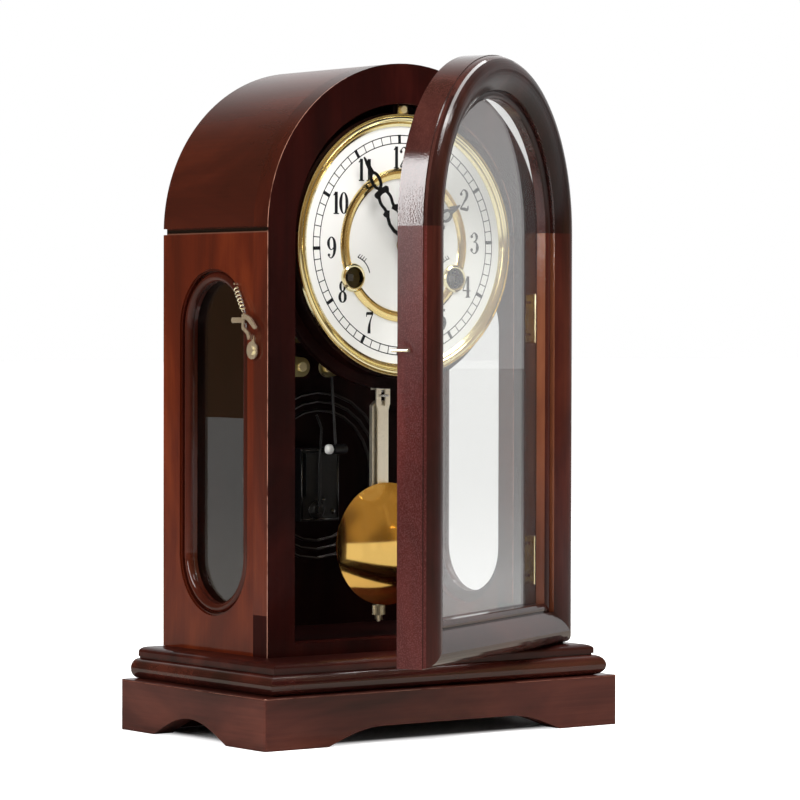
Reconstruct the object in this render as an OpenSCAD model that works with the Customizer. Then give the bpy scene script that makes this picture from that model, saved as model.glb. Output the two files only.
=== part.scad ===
// Pendulum desk clock with an arched case, a glazed door and a spring-driven strike movement.
// Millimetres, +Z up, front towards -Y. Origin: centre of the plinth's underside.

/* [Plinth] */
// Width of the plinth
plinth_w = 267; // [250:1:290]
// Depth of the plinth
plinth_d = 156; // [152:1:176]
// Height of the plinth
plinth_h = 31; // [24:1:44]
// Thickness of the plinth boards
plinth_t = 14; // [10:1:18]
// Corner rounding of the plinth
plinth_r = 2.2; // [1:0.1:4]
// Height of the front foot cut-out
foot_h = 10.3; // [6:0.1:14]
// Half width of the front foot cut-out
foot_half = 88; // [70:1:96]
// Half width of the flat top of the front cut-out
foot_flat = 48; // [30:1:56]
// Height of the side foot cut-outs
side_foot_h = 12.7; // [6:0.1:16]
// Half width of the side foot cut-outs
side_foot_half = 39; // [28:1:46]

/* [Mouldings] */
// Radius of the half-round moulding
torus_r = 6.2; // [4:0.1:8]
// Inset of the half-round moulding at the sides
torus_inset = 6.4; // [4:0.1:10]
// Inset of the half-round moulding at the front
torus_front_inset = 2.8; // [1:0.1:6]
// Width of the moulding frame
torus_w = 20; // [14:1:26]
// Further inset of the deck board
deck_step = 5.6; // [3:0.1:7]
// Thickness of the deck board
deck_t = 6.7; // [5:0.1:10]
// Reach of the cove on the deck board
cove_w = 6.5; // [4:0.1:8]

/* [Case] */
// Outside width of the case
case_w = 204.6; // [196:0.2:212]
// Depth of the case from frame front to back
case_d = 113.2; // [108:0.2:118]
// Height of the spring line above the floor
spring_z = 305.8; // [300:0.2:316]
// Thickness of side panels and roof
side_t = 14; // [12:0.5:18]
// Thickness of the front frame
frame_t = 15.2; // [12:0.2:18]
// Width of the front frame beside its opening
frame_w = 19.8; // [16:0.1:22]
// Drop of the frame arch centre below the spring line
opening_drop = 4.6; // [3:0.1:6]
// Height of the sill
sill_h = 7.7; // [6:0.1:10]
// Thickness of the floor board
floor_t = 8; // [6:0.5:10]
// Thickness of the back board
back_t = 6; // [4:0.5:8]
// Height of the groove at the spring line
seam_h = 3.6; // [2:0.1:5]
// Depth of the groove at the spring line
seam_d = 2.5; // [1.5:0.1:4]

/* [Side windows] */
// Width of a window at the panel face
window_w = 73.2; // [64:0.2:78]
// Height of a window at the panel face
window_h = 210.8; // [180:0.2:220]
// Height of a window's centre
window_z = 177.2; // [168:0.2:186]
// Distance of a window's centre behind the frame front
window_y = 58.2; // [56:0.2:60]
// Width of the window bead
bead_w = 7.7; // [6:0.1:10]
// Thickness of the window glass
window_glass_t = 2; // [1.5:0.1:3]
// Depth of the window glass behind the panel's face
window_glass_d = 8; // [7:0.1:9]

/* [Door] */
// Width of the door
door_w = 209.5; // [206:0.1:214]
// Thickness of the door's edge
door_edge_t = 16.2; // [14:0.1:17]
// Height of the bolection above the door's back
door_crown_t = 24.4; // [22:0.1:28]
// Width of the door members
member_w = 26; // [24:0.5:28]
// Width of the bolection on the door members
bolection_w = 20.8; // [19:0.1:21]
// Width of the wood behind the glass
rebate_w = 11; // [10:0.1:14]
// Gap between door and frame when shut
door_gap = 0.5; // [0.3:0.1:1]
// Opening angle of the door as stored
door_rest = 27.9; // [0:0.1:90]
// Distance of the hinge axis outside the case's side
hinge_out = 3.2; // [3:0.1:5]
// Radius of the hinge knuckles
knuckle_r = 2.4; // [1.8:0.1:2.8]
// Radius of the hinge pins
hinge_pin_r = 1.2; // [0.8:0.1:1.4]
// Length of a hinge
hinge_l = 30; // [24:1:40]
// Height of the upper hinge's middle
hinge_z_top = 253; // [240:1:280]
// Height of the lower hinge's middle
hinge_z_low = 102; // [90:1:130]
// Thickness of the door glass
door_glass_t = 2.5; // [2:0.1:4]

/* [Latch] */
// Distance of the latch pivot behind the frame front
latch_y = 13.8; // [13:0.1:17]
// Height of the latch pivot
latch_z = 233.4; // [225:0.1:240]
// Thickness of the latch hook
latch_t = 1.2; // [0.8:0.1:2]
// Radius of the latch washer
washer_r = 5.3; // [4.5:0.1:5.6]

/* [Dial] */
// Height of the dial centre
dial_z = 297.4; // [294:0.2:300]
// Gap between bezel and frame opening
bezel_gap = 2.5; // [1.5:0.1:4]
// Width of the bezel
bezel_w = 7.4; // [6:0.1:9]
// Distance of the dial face behind the frame front
dial_inset = 3.2; // [2.6:0.1:5]
// Thickness of the dial plate
dial_t = 1.2; // [0.8:0.1:2]
// Distance between the winding arbors
arbor_gap = 75; // [70:0.5:78]
// Drop of the winding arbors below the dial centre
arbor_drop = 20; // [16:0.5:22]
// Inner radius of the inner brass ring
inner_ring_r = 40.5; // [38:0.1:42]
// Width of the inner brass ring
inner_ring_w = 6.5; // [4:0.1:8]
// Outer radius of the winding ferrules
ferrule_r = 8.75; // [7:0.1:10]
// Hole radius of the winding ferrules
ferrule_hole_r = 6.5; // [5:0.1:6.8]

/* [Movement] */
// Distance of the front plate behind the frame front
plate_inset = 35.2; // [34:0.2:37]
// Thickness of the movement plates
plate_t = 1.6; // [1.2:0.1:2]
// Gap between the movement plates
plate_gap = 26; // [25.6:0.1:28]
// Half distance between the lower ears
ear_x = 33; // [30:0.5:36]
// Drop of the lower ears below the dial centre
ear_drop = 74.8; // [72:0.2:78]
// Rise of the upper pillars above the dial centre
pillar_rise = 50; // [46:0.5:54]
// Radius of the pillars
pillar_r = 3; // [2.4:0.1:3.6]
// Running clearance of arbors and pins
run = 0.05; // [0.02:0.01:0.09]

/* [Pendulum] */
// Drop of the pendulum's bending point below the dial centre
pivot_drop = 25.3; // [25:0.1:27]
// Distance of the pendulum's plane behind the frame front
pendulum_inset = 27.2; // [26.6:0.1:28]
// Length from the bending point to the middle of the bob
pendulum_l = 158; // [150:0.5:162]
// Radius of the bob
bob_r = 37.7; // [32:0.1:40]
// Height of the bob's front dome
bob_dome = 9; // [6:0.1:10]
// Width of the rear pendulum bar
bar_w = 12.3; // [10:0.1:16]
// Width of the front pendulum strip
strip_w = 7.8; // [6:0.1:9]
// Radius of the rating nut
rating_r = 4.1; // [3:0.1:6]

/* [Gong] */
// Height of the gong's centre
gong_z = 155; // [148:0.5:156]
// Offset of the gong's centre to the right
gong_x = 4; // [0:0.5:8]
// Outer radius of the gong coil
gong_r = 55.4; // [50:0.2:56]
// Pitch of the gong coil
gong_pitch = 5.6; // [4.5:0.1:6]
// Radius of the gong wire
gong_wire_r = 1.1; // [0.8:0.1:1.5]

/* [Hidden] */
$fn = 64;
eps = 0.01;

// Levels and planes of the case
case_y0 = plinth_d / 2 - case_d;
case_y1 = plinth_d / 2;
frame_y1 = case_y0 + frame_t;
half_w = case_w / 2;
inner_half = half_w - side_t;
opening_half = half_w - frame_w;
deck_z0 = plinth_h + 2 * torus_r;
deck_top = deck_z0 + deck_t;
arch_z = spring_z - opening_drop;
back_y0 = case_y1 - back_t;
window_cy = case_y0 + window_y;

// Planes of the dial and the movement, from front to back
dial_y = case_y0 + dial_inset;
ring_y0 = dial_y + dial_t;
flange_t = 5;
bezel_r = opening_half - bezel_gap;
bezel_in = bezel_r - bezel_w;
ring_r = opening_half - 1.3;
ring_in = ring_r - 15.2;
plate_y = case_y0 + plate_inset;
plate_in = plate_y + plate_t;
back_plate_y = plate_in + plate_gap;
back_plate_y1 = back_plate_y + plate_t;
pend_y = case_y0 + pendulum_inset;
pivot_z = dial_z - pivot_drop;

// Door and hinge
door_y1 = case_y0 - door_gap;
door_half = door_w / 2;
hinge_x = half_w + hinge_out;
hinge_y = case_y0 - door_gap / 2;
rebate_d = 8.9;
leaf_w = 10.5;
leaf_t = 1;

// Tooth counts of the two trains and the motion work
great_n = 80;
second_pinion_n = 10;
second_n = 70;
centre_pinion_n = 10;
centre_n = 80;
fourth_pinion_n = 8;
fourth_n = 72;
escape_pinion_n = 6;
escape_n = 38;
pin_pinion_n = 8;
pin_n = 56;
fly_pinion_n = 7;
cannon_n = 12;
minute_n = 36;
minute_pinion_n = 10;
hour_n = 40;

// Modules of the meshes
great_m = 0.7;
second_m = 0.6;
centre_m = 0.5;
fourth_m = 0.5;
pin_m = 0.45;
motion_m = 0.5;
hour_m = 0.48;

function mesh(n1, n2, m) = (n1 + n2) * m / 2;
function heading(a, b) = atan2(b[1] - a[1], b[0] - a[0]);
// The point at distance ra from a and rb from b, on the left or right of the line from a to b
function apex(a, b, ra, rb, side) =
    let (d = norm(b - a), u = (b - a) / d, k = (ra * ra - rb * rb + d * d) / (2 * d),
         h = sqrt(max(0, ra * ra - k * k)))
    a + k * u + side * h * [-u[1], u[0]];

// Arbor places in the plane of the dial, measured from the dial centre
centre_at = [0, 0];
time_at = [arbor_gap / 2, -arbor_drop];
strike_at = [-arbor_gap / 2, -arbor_drop];
time_second_at = apex(time_at, centre_at, mesh(great_n, second_pinion_n, great_m),
                      mesh(second_n, centre_pinion_n, second_m), -1);
strike_second_at = [-time_second_at[0], time_second_at[1]];
escape_at = [0, -pivot_drop - 14.7];
fourth_at = apex(centre_at, escape_at, mesh(centre_n, fourth_pinion_n, centre_m),
                 mesh(fourth_n, escape_pinion_n, fourth_m), -1);
pin_heading = 125;
pin_at = strike_second_at
    + mesh(second_n, pin_pinion_n, second_m) * [cos(pin_heading), sin(pin_heading)];
fly_heading = 40;
fly_at = pin_at + mesh(pin_n, fly_pinion_n, pin_m) * [cos(fly_heading), sin(fly_heading)];
minute_heading = 50;
minute_at = mesh(cannon_n, minute_n, motion_m) * [cos(minute_heading), sin(minute_heading)];
hammer_at = [-48, 12];
spring_post_at = [43, -54];

// Radii of the arbors
arbor_r = 1.2;
centre_r = 1.5;
winding_r = 3;
core_r = 7.6;
spring_post_r = 2.4;
screw_r = 1.5;

// Planes of the wheels, measured from the inside of the front plate
great_y = plate_in + 0.6;
great_t = 1.8;
fourth_y = plate_in + 3.2;
wheel_t = 1;
spring_y = plate_in + 5.4;
mainspring_w = 15;
centre_y = plate_in + 21.2;
second_y = plate_in + 23.2;
strike_y = plate_in + 24.7;
pin_y = plate_in + 10.4;
escape_y = plate_y - 3.4;

// Motion work in front of the front plate
minute_y = plate_y - 3.2;
hour_y = plate_y - 6.2;
motion_t = 1.4;
hour_pipe_r = 4;
hour_bore_r = 3;
cannon_pipe_r = 3;
hour_hand_y = dial_y - 2.8;
minute_hand_y = dial_y - 5.4;
hand_t = 0.8;

// Bob, bar and spindle of the pendulum
bar_t = 3;
strip_t = 1.2;
strip_y = pend_y - 4.4;
bob_z = pivot_z - pendulum_l;
bob_y = strip_y - 0.3;
bar_top = pivot_z - 70;
bar_low = bob_z - bob_r + 6;
rating_z = bob_z - bob_r - 6.4;
rating_h = 5.8;
spindle_r = 1.5;
spindle_low = rating_z - 4;
head_top = pivot_z - 60;
cross_z = head_top - 6;
leader_r = 0.9;

// Gong block and hammer
block_w = 30;
block_h = 46;
block_d = 16;
block_x = gong_x - 3;
block_z = gong_z - 7;
gong_y = back_y0 - 9;
head_at = [9, -127];
head_y = gong_y - 13;

module xz(y0, y1) { translate([0, y1, 0]) rotate([90, 0, 0]) linear_extrude(y1 - y0) children(); }
module yz(x0, x1) { translate([x0, 0, 0]) rotate([90, 0, 90]) linear_extrude(x1 - x0) children(); }
module spin_y(x, z) { translate([x, 0, z]) rotate([-90, 0, 0]) rotate_extrude() children(); }
module ycyl(x, z, y0, y1, r) { translate([x, y1, z]) rotate([90, 0, 0]) cylinder(h = y1 - y0, r = r); }
module xcyl(y, z, x0, x1, r) { translate([x0, y, z]) rotate([0, 90, 0]) cylinder(h = x1 - x0, r = r); }
module zcyl(x, y, z0, z1, r) { translate([x, y, z0]) cylinder(h = z1 - z0, r = r); }
module box(x0, x1, y0, y1, z0, z1) { translate([x0, y0, z0]) cube([x1 - x0, y1 - y0, z1 - z0]); }
// A round bar from point a to point b
module bar_between(a, b, r) {
    d = b - a;
    translate(a) rotate([0, acos(d[2] / norm(d)), atan2(d[1], d[0])]) cylinder(h = norm(d), r = r);
}
module rounded_plan(w, d, r) {
    square([w - 2 * r, d], center = true);
    square([w, d - 2 * r], center = true);
    for (x = [-1, 1], y = [-1, 1]) translate([x * (w / 2 - r), y * (d / 2 - r)]) circle(r);
}
// A half section that runs from the middle out to half, with its top outer corner rounded
module rounded_half(half, h, r) {
    square([half - r, h]);
    square([half, h - r]);
    translate([half - r, h - r]) circle(r);
}
// Cut-out between two feet: quarter-sine ends and a flat top
module foot_cut(half, flat, h) {
    steps = 8;
    rise = [for (i = [0 : steps]) [-half + (half - flat) * i / steps, h * sin(90 * i / steps)]];
    fall = [for (i = [0 : steps]) [-rise[steps - i][0], rise[steps - i][1]]];
    polygon(concat([[-half, -1]], rise, flat > 0 ? fall : [for (i = [1 : steps]) fall[i]], [[half, -1]]));
}

module plinth_blank() {
    intersection() {
        linear_extrude(plinth_h) rounded_plan(plinth_w, plinth_d, plinth_r);
        yz(-plinth_w, plinth_w) {
            mirror([1, 0]) rounded_half(plinth_d / 2, plinth_h, plinth_r / 2);
            square([plinth_d / 2, plinth_h]);
        }
        xz(-plinth_d, plinth_d) {
            rounded_half(plinth_w / 2, plinth_h, plinth_r / 2);
            mirror([1, 0]) rounded_half(plinth_w / 2, plinth_h, plinth_r / 2);
        }
    }
}
module front_board_plan() {
    w = plinth_w / 2;
    d = plinth_d / 2;
    polygon([[-w, -d], [w, -d], [w - plinth_t, -d + plinth_t], [-w + plinth_t, -d + plinth_t]]);
}
module plinth_front_board() color("#4a241c") {
    difference() {
        intersection() {
            plinth_blank();
            linear_extrude(plinth_h) front_board_plan();
        }
        xz(-plinth_d, 0) foot_cut(foot_half, foot_flat, foot_h);
    }
}
module plinth_side_board(side) {
    w = plinth_w / 2;
    d = plinth_d / 2;
    difference() {
        intersection() {
            plinth_blank();
            linear_extrude(plinth_h)
                polygon([[side * w, -d], [side * w, d], [side * (w - plinth_t), d],
                         [side * (w - plinth_t), -d + plinth_t]]);
        }
        translate([0, 2, 0]) yz(-plinth_w, plinth_w) foot_cut(side_foot_half, 0, side_foot_h);
    }
}
module plinth_rear_boards() color("#4a241c") {
    plinth_side_board(-1);
    plinth_side_board(1);
    box(-plinth_w / 2 + plinth_t - 1, plinth_w / 2 - plinth_t + 1, plinth_d / 2 - plinth_t, plinth_d / 2, 0, plinth_h);
}

torus_x = plinth_w / 2 - torus_inset;
torus_front = plinth_d / 2 - torus_front_inset;
mould_back = plinth_d / 2 - 1.5;
module torus_half(half) {
    translate([0, plinth_h]) square([half - torus_r, 2 * torus_r]);
    translate([half - torus_r, plinth_h + torus_r]) circle(torus_r);
}
module torus_moulding() color("#3a1712") {
    difference() {
        intersection() {
            xz(-plinth_d, plinth_d) {
                torus_half(torus_x);
                mirror([1, 0]) torus_half(torus_x);
            }
            yz(-plinth_w, plinth_w) {
                mirror([1, 0]) torus_half(torus_front);
                translate([-1, plinth_h]) square([mould_back + 1, 2 * torus_r]);
            }
        }
        box(-torus_x + torus_w, torus_x - torus_w, -torus_front + torus_w, mould_back - torus_w,
            plinth_h - 1, deck_z0 + 1);
    }
}

deck_x = torus_x - deck_step;
deck_front = torus_front - deck_step;
// Right half of the deck board's outline, from the underside up
function deck_edge(half) =
    let (fillet = 1, edge = deck_t - 2.9, steps = 6)
    concat([[half - fillet, deck_z0], [half - fillet, deck_z0 + fillet], [half, deck_z0 + fillet]],
           [for (i = [0 : steps]) let (a = 90 * i / steps)
            [half - cove_w * (1 - cos(a)), deck_z0 + edge + 2.9 * sin(a)]]);
function flipped(points) = [for (i = [len(points) - 1 : -1 : 0]) [-points[i][0], points[i][1]]];
module deck_board() color("#3a1712") {
    side = deck_edge(deck_x);
    front = flipped(deck_edge(deck_front));
    intersection() {
        xz(-plinth_d, plinth_d) polygon(concat(side, flipped(side)));
        yz(-plinth_w, plinth_w) polygon(concat([[mould_back, deck_z0], [mould_back, deck_top]], front));
    }
}

module floor_board() color("#2a120e") {
    box(-inner_half, inner_half, frame_y1, back_y0, deck_top, deck_top + floor_t);
}

// Stadium outline of a side window, in the plane of the panel
module stadium(half, total_h) {
    straight = total_h / 2 - half;
    square([2 * half, 2 * straight], center = true);
    for (s = [-1, 1]) translate([0, s * straight]) circle(half);
}
module window_place() { translate([0, window_cy, window_z]) children(); }
module side_panel(side) {
    x0 = side > 0 ? inner_half : -half_w;
    difference() {
        box(x0, x0 + side_t, frame_y1, case_y1, deck_top, spring_z);
        window_place() yz(x0 - 1, x0 + side_t + 1) stadium(window_w / 2, window_h);
        if (side < 0) latch_holes();
        box(side > 0 ? half_w - seam_d : -half_w - 1, side > 0 ? half_w + 1 : -half_w + seam_d,
            case_y0 - 1, case_y1 + 1, spring_z - seam_h / 2, spring_z + 1);
    }
}
module latch_holes() {
    xcyl(latch_cy, latch_z, -half_w - 1, -half_w + 6, 1.62);
    xcyl(anchor[1], anchor[2], -half_w - 1, -half_w + 4, 0.72);
}
module left_side_panel() color("#6b2517") side_panel(-1);
module right_side_panel() color("#6b2517") side_panel(1);

module arch_roof() color("#5a2018") {
    difference() {
        xz(frame_y1, case_y1) intersection() {
            difference() {
                translate([0, spring_z]) circle(half_w);
                translate([0, spring_z]) circle(inner_half);
            }
            translate([-half_w, spring_z]) square([case_w, half_w]);
        }
        for (s = [-1, 1])
            box(min(s * (half_w - seam_d), s * (half_w + 1)), max(s * (half_w - seam_d), s * (half_w + 1)),
                case_y0, case_y1 + 1, spring_z - 1, spring_z + seam_h / 2);
    }
}

module arch_outline(half, z0, centre_z) {
    translate([-half, z0]) square([2 * half, centre_z - z0]);
    intersection() {
        translate([0, centre_z]) circle(half);
        translate([-half, centre_z - eps]) square([2 * half, half + 1]);
    }
}
module hinge_leaf_slot(y0, y1) {
    for (z = [hinge_z_low, hinge_z_top])
        box(half_w - leaf_w, hinge_x + 1, y0, y1, z - hinge_l / 2, z + hinge_l / 2);
}
module front_frame() color("#2c100d") {
    difference() {
        xz(case_y0, frame_y1) difference() {
            arch_outline(half_w, deck_top, spring_z);
            arch_outline(opening_half, deck_top + sill_h, arch_z);
        }
        for (s = [-1, 1])
            box(min(s * (half_w - seam_d), s * (half_w + 1)), max(s * (half_w - seam_d), s * (half_w + 1)),
                case_y0 + 1.5, frame_y1 + 1, spring_z - seam_h / 2, spring_z + seam_h / 2);
        hinge_leaf_slot(case_y0 - 1, case_y0 + leaf_t);
        latch_holes();
    }
}

ear_z = dial_z - ear_drop;
upper_z = dial_z + pillar_rise;
block_half = 7;
screw_grip = 12;
function mount_points() = [[-ear_x, ear_z], [ear_x, ear_z], [-ear_x, upper_z], [ear_x, upper_z]];
back_screw_in = 5;
function back_screw_points() = concat(
    [for (s = [-1, 1], z = [75, 150, 225, 295]) [s * (inner_half - back_screw_in), z]],
    [for (a = [60, 120]) [(inner_half - back_screw_in) * cos(a), spring_z + (inner_half - back_screw_in) * sin(a)]]);
module back_panel() color("#3b1d14") {
    fit = 0.1;
    difference() {
        union() {
            xz(back_y0, case_y1) arch_outline(inner_half - fit, deck_top, spring_z);
            for (p = mount_points())
                box(p[0] - block_half, p[0] + block_half, back_plate_y1, back_y0, p[1] - block_half, p[1] + block_half);
        }
        for (p = mount_points()) ycyl(p[0], p[1], back_plate_y1 - 1, back_plate_y1 + screw_grip + 1, screw_r + run);
        for (p = back_screw_points()) ycyl(p[0], p[1], case_y1 - 1.2, case_y1 + 1, 3.1);
    }
}
// A slotted screw from the front, its head's seat at y and its shank to y1
module slotted_screw(p, y, y1, head_r) {
    difference() {
        union() {
            ycyl(p[0], p[1], y - 1.6, y, head_r);
            ycyl(p[0], p[1], y - eps, y1, screw_r);
        }
        box(p[0] - 4, p[0] + 4, y - 3, y - 0.9, p[1] - 0.35, p[1] + 0.35);
    }
}
module wood_screws() color("#b09a5c") {
    for (s = [-1, 1]) {
        slotted_screw([s * ear_x, upper_z], plate_y, back_plate_y1 + screw_grip, 2.8);
        slotted_screw([s * ear_x, ear_z], back_plate_y, back_plate_y1 + screw_grip, 2.8);
        slotted_screw([s * ear_x, ear_z], plate_y, plate_in + 0.5, 2.8);
        ycyl(s * ear_x, ear_z, plate_in, plate_in + 2, 2.8);
    }
    slotted_screw([0, lug_z], ring_y0 - 1, ring_y0 + 8, 2.3);
    for (p = back_screw_points()) difference() {
        ycyl(p[0], p[1], case_y1 - 1.2, case_y1 - 0.1, 3);
        box(p[0] - 4, p[0] + 4, case_y1 - 0.6, case_y1 + 1, p[1] - 0.35, p[1] + 0.35);
    }
}

// Section of a window bead: s runs inwards from the panel's opening, d inwards from the panel's face
module bead_section() {
    roll_r = 3;
    roll_s = bead_w - roll_r;
    base = window_glass_d;
    translate([0, 1.2]) square([1.1, base - 1.2]);
    translate([0, 3.6]) square([roll_s, base - 3.6]);
    translate([roll_s, 4]) circle(roll_r);
    translate([0, 5.6]) square([bead_w - 0.5, base - 5.6]);
    translate([0, base - eps]) square([1.2, window_glass_t + eps]);
}
module bead_ring() {
    half = window_w / 2;
    straight = window_h / 2 - half;
    for (s = [0, 1]) mirror([0, 0, s]) translate([0, 0, straight]) intersection() {
        rotate([0, 90, 0]) rotate_extrude() translate([half, 0]) mirror([1, 0]) bead_section();
        translate([-1, -2 * half, 0]) cube([side_t + 2, 4 * half, 2 * half]);
    }
    for (s = [0, 1]) mirror([0, s, 0])
        translate([0, 0, -straight]) linear_extrude(2 * straight)
            translate([0, -half]) mirror([1, -1]) bead_section();
}
module window_beads() color("#571d13") {
    for (s = [0, 1]) mirror([s, 0, 0]) translate([-half_w, window_cy, window_z]) bead_ring();
}
module window_glasses() color("#9fb0a8", 0.4) {
    inset = 1.3;
    for (s = [0, 1]) mirror([s, 0, 0]) window_place()
        yz(half_w - window_glass_d - window_glass_t, half_w - window_glass_d)
            stadium(window_w / 2 - inset, window_h - 2 * inset);
}

// Door section: s runs inwards from the door's outer edge, d forwards from the door's back
module door_section() {
    arris = 0.5;
    crown_s = 8.5;
    slope_end = bolection_w;
    slope_d = door_crown_t - 5.8;
    lip_d = slope_d - 2.4;
    steps = 7;
    outer = [for (i = [0 : steps]) let (a = 90 * i / steps)
             [crown_s - (crown_s - arris) * cos(a),
              door_edge_t + arris + (door_crown_t - door_edge_t - arris) * sin(a)]];
    inner = [for (i = [1 : steps]) let (t = i / steps)
             [crown_s + (slope_end - crown_s) * t, door_crown_t - (door_crown_t - slope_d) * pow(t, 1.6)]];
    polygon(concat(
        [[0, 0], [0, door_edge_t]], outer, inner,
        [[slope_end, lip_d - 0.6], [slope_end + 0.6, lip_d - 0.6], [slope_end + 1, lip_d - 0.1],
         [slope_end + 2.2, lip_d], [slope_end + 3.6, lip_d - 0.3], [member_w - 0.4, lip_d - 1],
         [member_w, lip_d - 1.8], [member_w, rebate_d], [rebate_w, rebate_d], [rebate_w, 0]]));
}
// Puts a door piece, drawn shut, at its stored angle
module door_place() {
    translate([hinge_x, hinge_y, 0]) rotate([0, 0, door_rest]) translate([-hinge_x, -hinge_y, 0]) children();
}
module stile_blank(side) {
    translate([side * door_half, door_y1, deck_top]) linear_extrude(spring_z - deck_top)
        scale([-side, -1]) door_section();
}
module mitre_keep(side) {
    xz(door_y1 - 40, door_y1 + 1)
        polygon([[side * door_half, deck_top], [side * (door_half - 60), deck_top + 60],
                 [side * (door_half - 60), spring_z + 1], [side * (door_half + 10), spring_z + 1],
                 [side * (door_half + 10), deck_top]]);
}
module door_stile(side) {
    intersection() {
        stile_blank(side);
        mitre_keep(side);
    }
}
module knuckle_cut() {
    for (z = [hinge_z_low, hinge_z_top])
        zcyl(hinge_x, hinge_y, z - hinge_l / 2 - 2, z + hinge_l / 2 + 2, knuckle_r + 0.4);
}
module door_hinge_stile() color("#48190f") door_place() difference() {
    door_stile(1);
    knuckle_cut();
    hinge_leaf_slot(door_y1 - leaf_t, door_y1 + 1);
}
catch_z = latch_z + 0.6;
catch_r = 1;
catch_d = 7.4;
catch_l = 9.3;
module door_latch_stile() color("#48190f") door_place() difference() {
    door_stile(-1);
    xcyl(door_y1 - catch_d, catch_z, -door_half - 1, -door_half + 6, catch_r + 0.02);
}
module door_bottom_rail() color("#3c1510") door_place() {
    intersection() {
        translate([-door_half, door_y1, deck_top]) rotate([90, 0, 90]) linear_extrude(door_w)
            mirror([1, -1]) scale([1, -1]) door_section();
        xz(door_y1 - 40, door_y1 + 1)
            polygon([[-door_half, deck_top], [door_half, deck_top], [door_half - 40, deck_top + 40],
                     [-door_half + 40, deck_top + 40]]);
    }
}
module door_arch_head() color("#3c1510") door_place() {
    intersection() {
        translate([0, door_y1, spring_z]) rotate([90, 0, 0]) rotate_extrude()
            translate([door_half, 0]) mirror([1, 0]) door_section();
        box(-door_half - 1, door_half + 1, door_y1 - 40, door_y1 + 1, spring_z, spring_z + door_half + 1);
    }
}
glass_gap = 0.4;
module glass_outline(inset) { arch_outline(door_half - inset, deck_top + inset, spring_z); }
module door_glass() color("#c2c8c6", 0.3) door_place() {
    xz(door_y1 - rebate_d, door_y1 - rebate_d + door_glass_t) glass_outline(rebate_w + glass_gap);
}
module door_glazing_bead() color("#2c100d") door_place() {
    xz(door_y1 - rebate_d + door_glass_t, door_y1 - leaf_t - 0.1) difference() {
        glass_outline(rebate_w + 0.06);
        glass_outline(rebate_w + 2.6);
    }
}
module door_catch_pin() color("#d9b65a") door_place() {
    y = door_y1 - catch_d;
    xcyl(y, catch_z, -door_half - 3, -door_half + 6, catch_r);
    translate([-door_half - 3, y, catch_z]) sphere(r = catch_r);
    bar_between([-door_half - 3, y, catch_z], [-door_half - 3, y + catch_l, catch_z], catch_r);
    translate([-door_half - 3, y + catch_l, catch_z]) sphere(r = catch_r);
    xcyl(y + catch_l, catch_z, -door_half - 3, -door_half - 0.4, 0.8);
}

module knuckles(z, parts, r) {
    third = hinge_l / 3;
    for (p = parts) difference() {
        zcyl(hinge_x, hinge_y, z - hinge_l / 2 + p * third + 0.1, z - hinge_l / 2 + (p + 1) * third - 0.1, r);
        zcyl(hinge_x, hinge_y, z - hinge_l / 2 - 1, z + hinge_l / 2 + 1, hinge_pin_r + run);
    }
}
module leaf(y0, parts) {
    third = hinge_l / 3;
    for (z = [hinge_z_low, hinge_z_top]) {
        difference() {
            union() {
                box(half_w - leaf_w, half_w - 1, y0, y0 + leaf_t, z - hinge_l / 2, z + hinge_l / 2);
                for (p = parts)
                    box(half_w - 1.1, hinge_x, y0, y0 + leaf_t, z - hinge_l / 2 + p * third + 0.1,
                        z - hinge_l / 2 + (p + 1) * third - 0.1);
            }
            zcyl(hinge_x, hinge_y, z - hinge_l, z + hinge_l, hinge_pin_r + run);
            for (dz = [-hinge_l / 3, hinge_l / 3])
                ycyl(half_w - leaf_w / 2 - 2, z + dz, y0 - 1, y0 + 2, 1);
        }
        knuckles(z, parts, knuckle_r);
    }
}
module hinge_case_leaves() color("#c9a44c") leaf(case_y0, [0, 2]);
module hinge_door_leaves() color("#c9a44c") door_place() leaf(door_y1 - leaf_t, [1]);
module hinge_pins() color("#b8933f") {
    for (z = [hinge_z_low, hinge_z_top]) {
        zcyl(hinge_x, hinge_y, z - hinge_l / 2 - 0.6, z + hinge_l / 2 + 0.6, hinge_pin_r);
        for (s = [-1, 1]) translate([hinge_x, hinge_y, z + s * (hinge_l / 2 + 0.9)]) cylinder(h = 1.2, r = 1.8, center = true);
    }
}

// Latch on the left side, pivoting about X. Its eye lies on the panel and its arm is cranked outwards.
latch_cy = case_y0 + latch_y;
eye_x = -half_w - latch_t - 0.1;
washer_x = eye_x - 0.1;
hook_x = -half_w - 4.2;
washer_t = 0.9;
anchor = [-half_w - 2.6, latch_cy + 18.2, latch_z + 39.8];
module latch_pivot_screw() color("#d6bd74") {
    head_x = washer_x - washer_t;
    difference() {
        union() {
            xcyl(latch_cy, latch_z, head_x, washer_x, washer_r);
            xcyl(latch_cy, latch_z, head_x - 1.1, head_x + 0.1, 2.7);
            xcyl(latch_cy, latch_z, washer_x - 0.1, -half_w + 6, 1.6);
        }
        box(head_x - 2, head_x - 0.5, latch_cy - 4, latch_cy + 4, latch_z - 0.4, latch_z + 0.4);
    }
    xcyl(anchor[1], anchor[2], anchor[0], -half_w + 4, 0.7);
}
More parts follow.
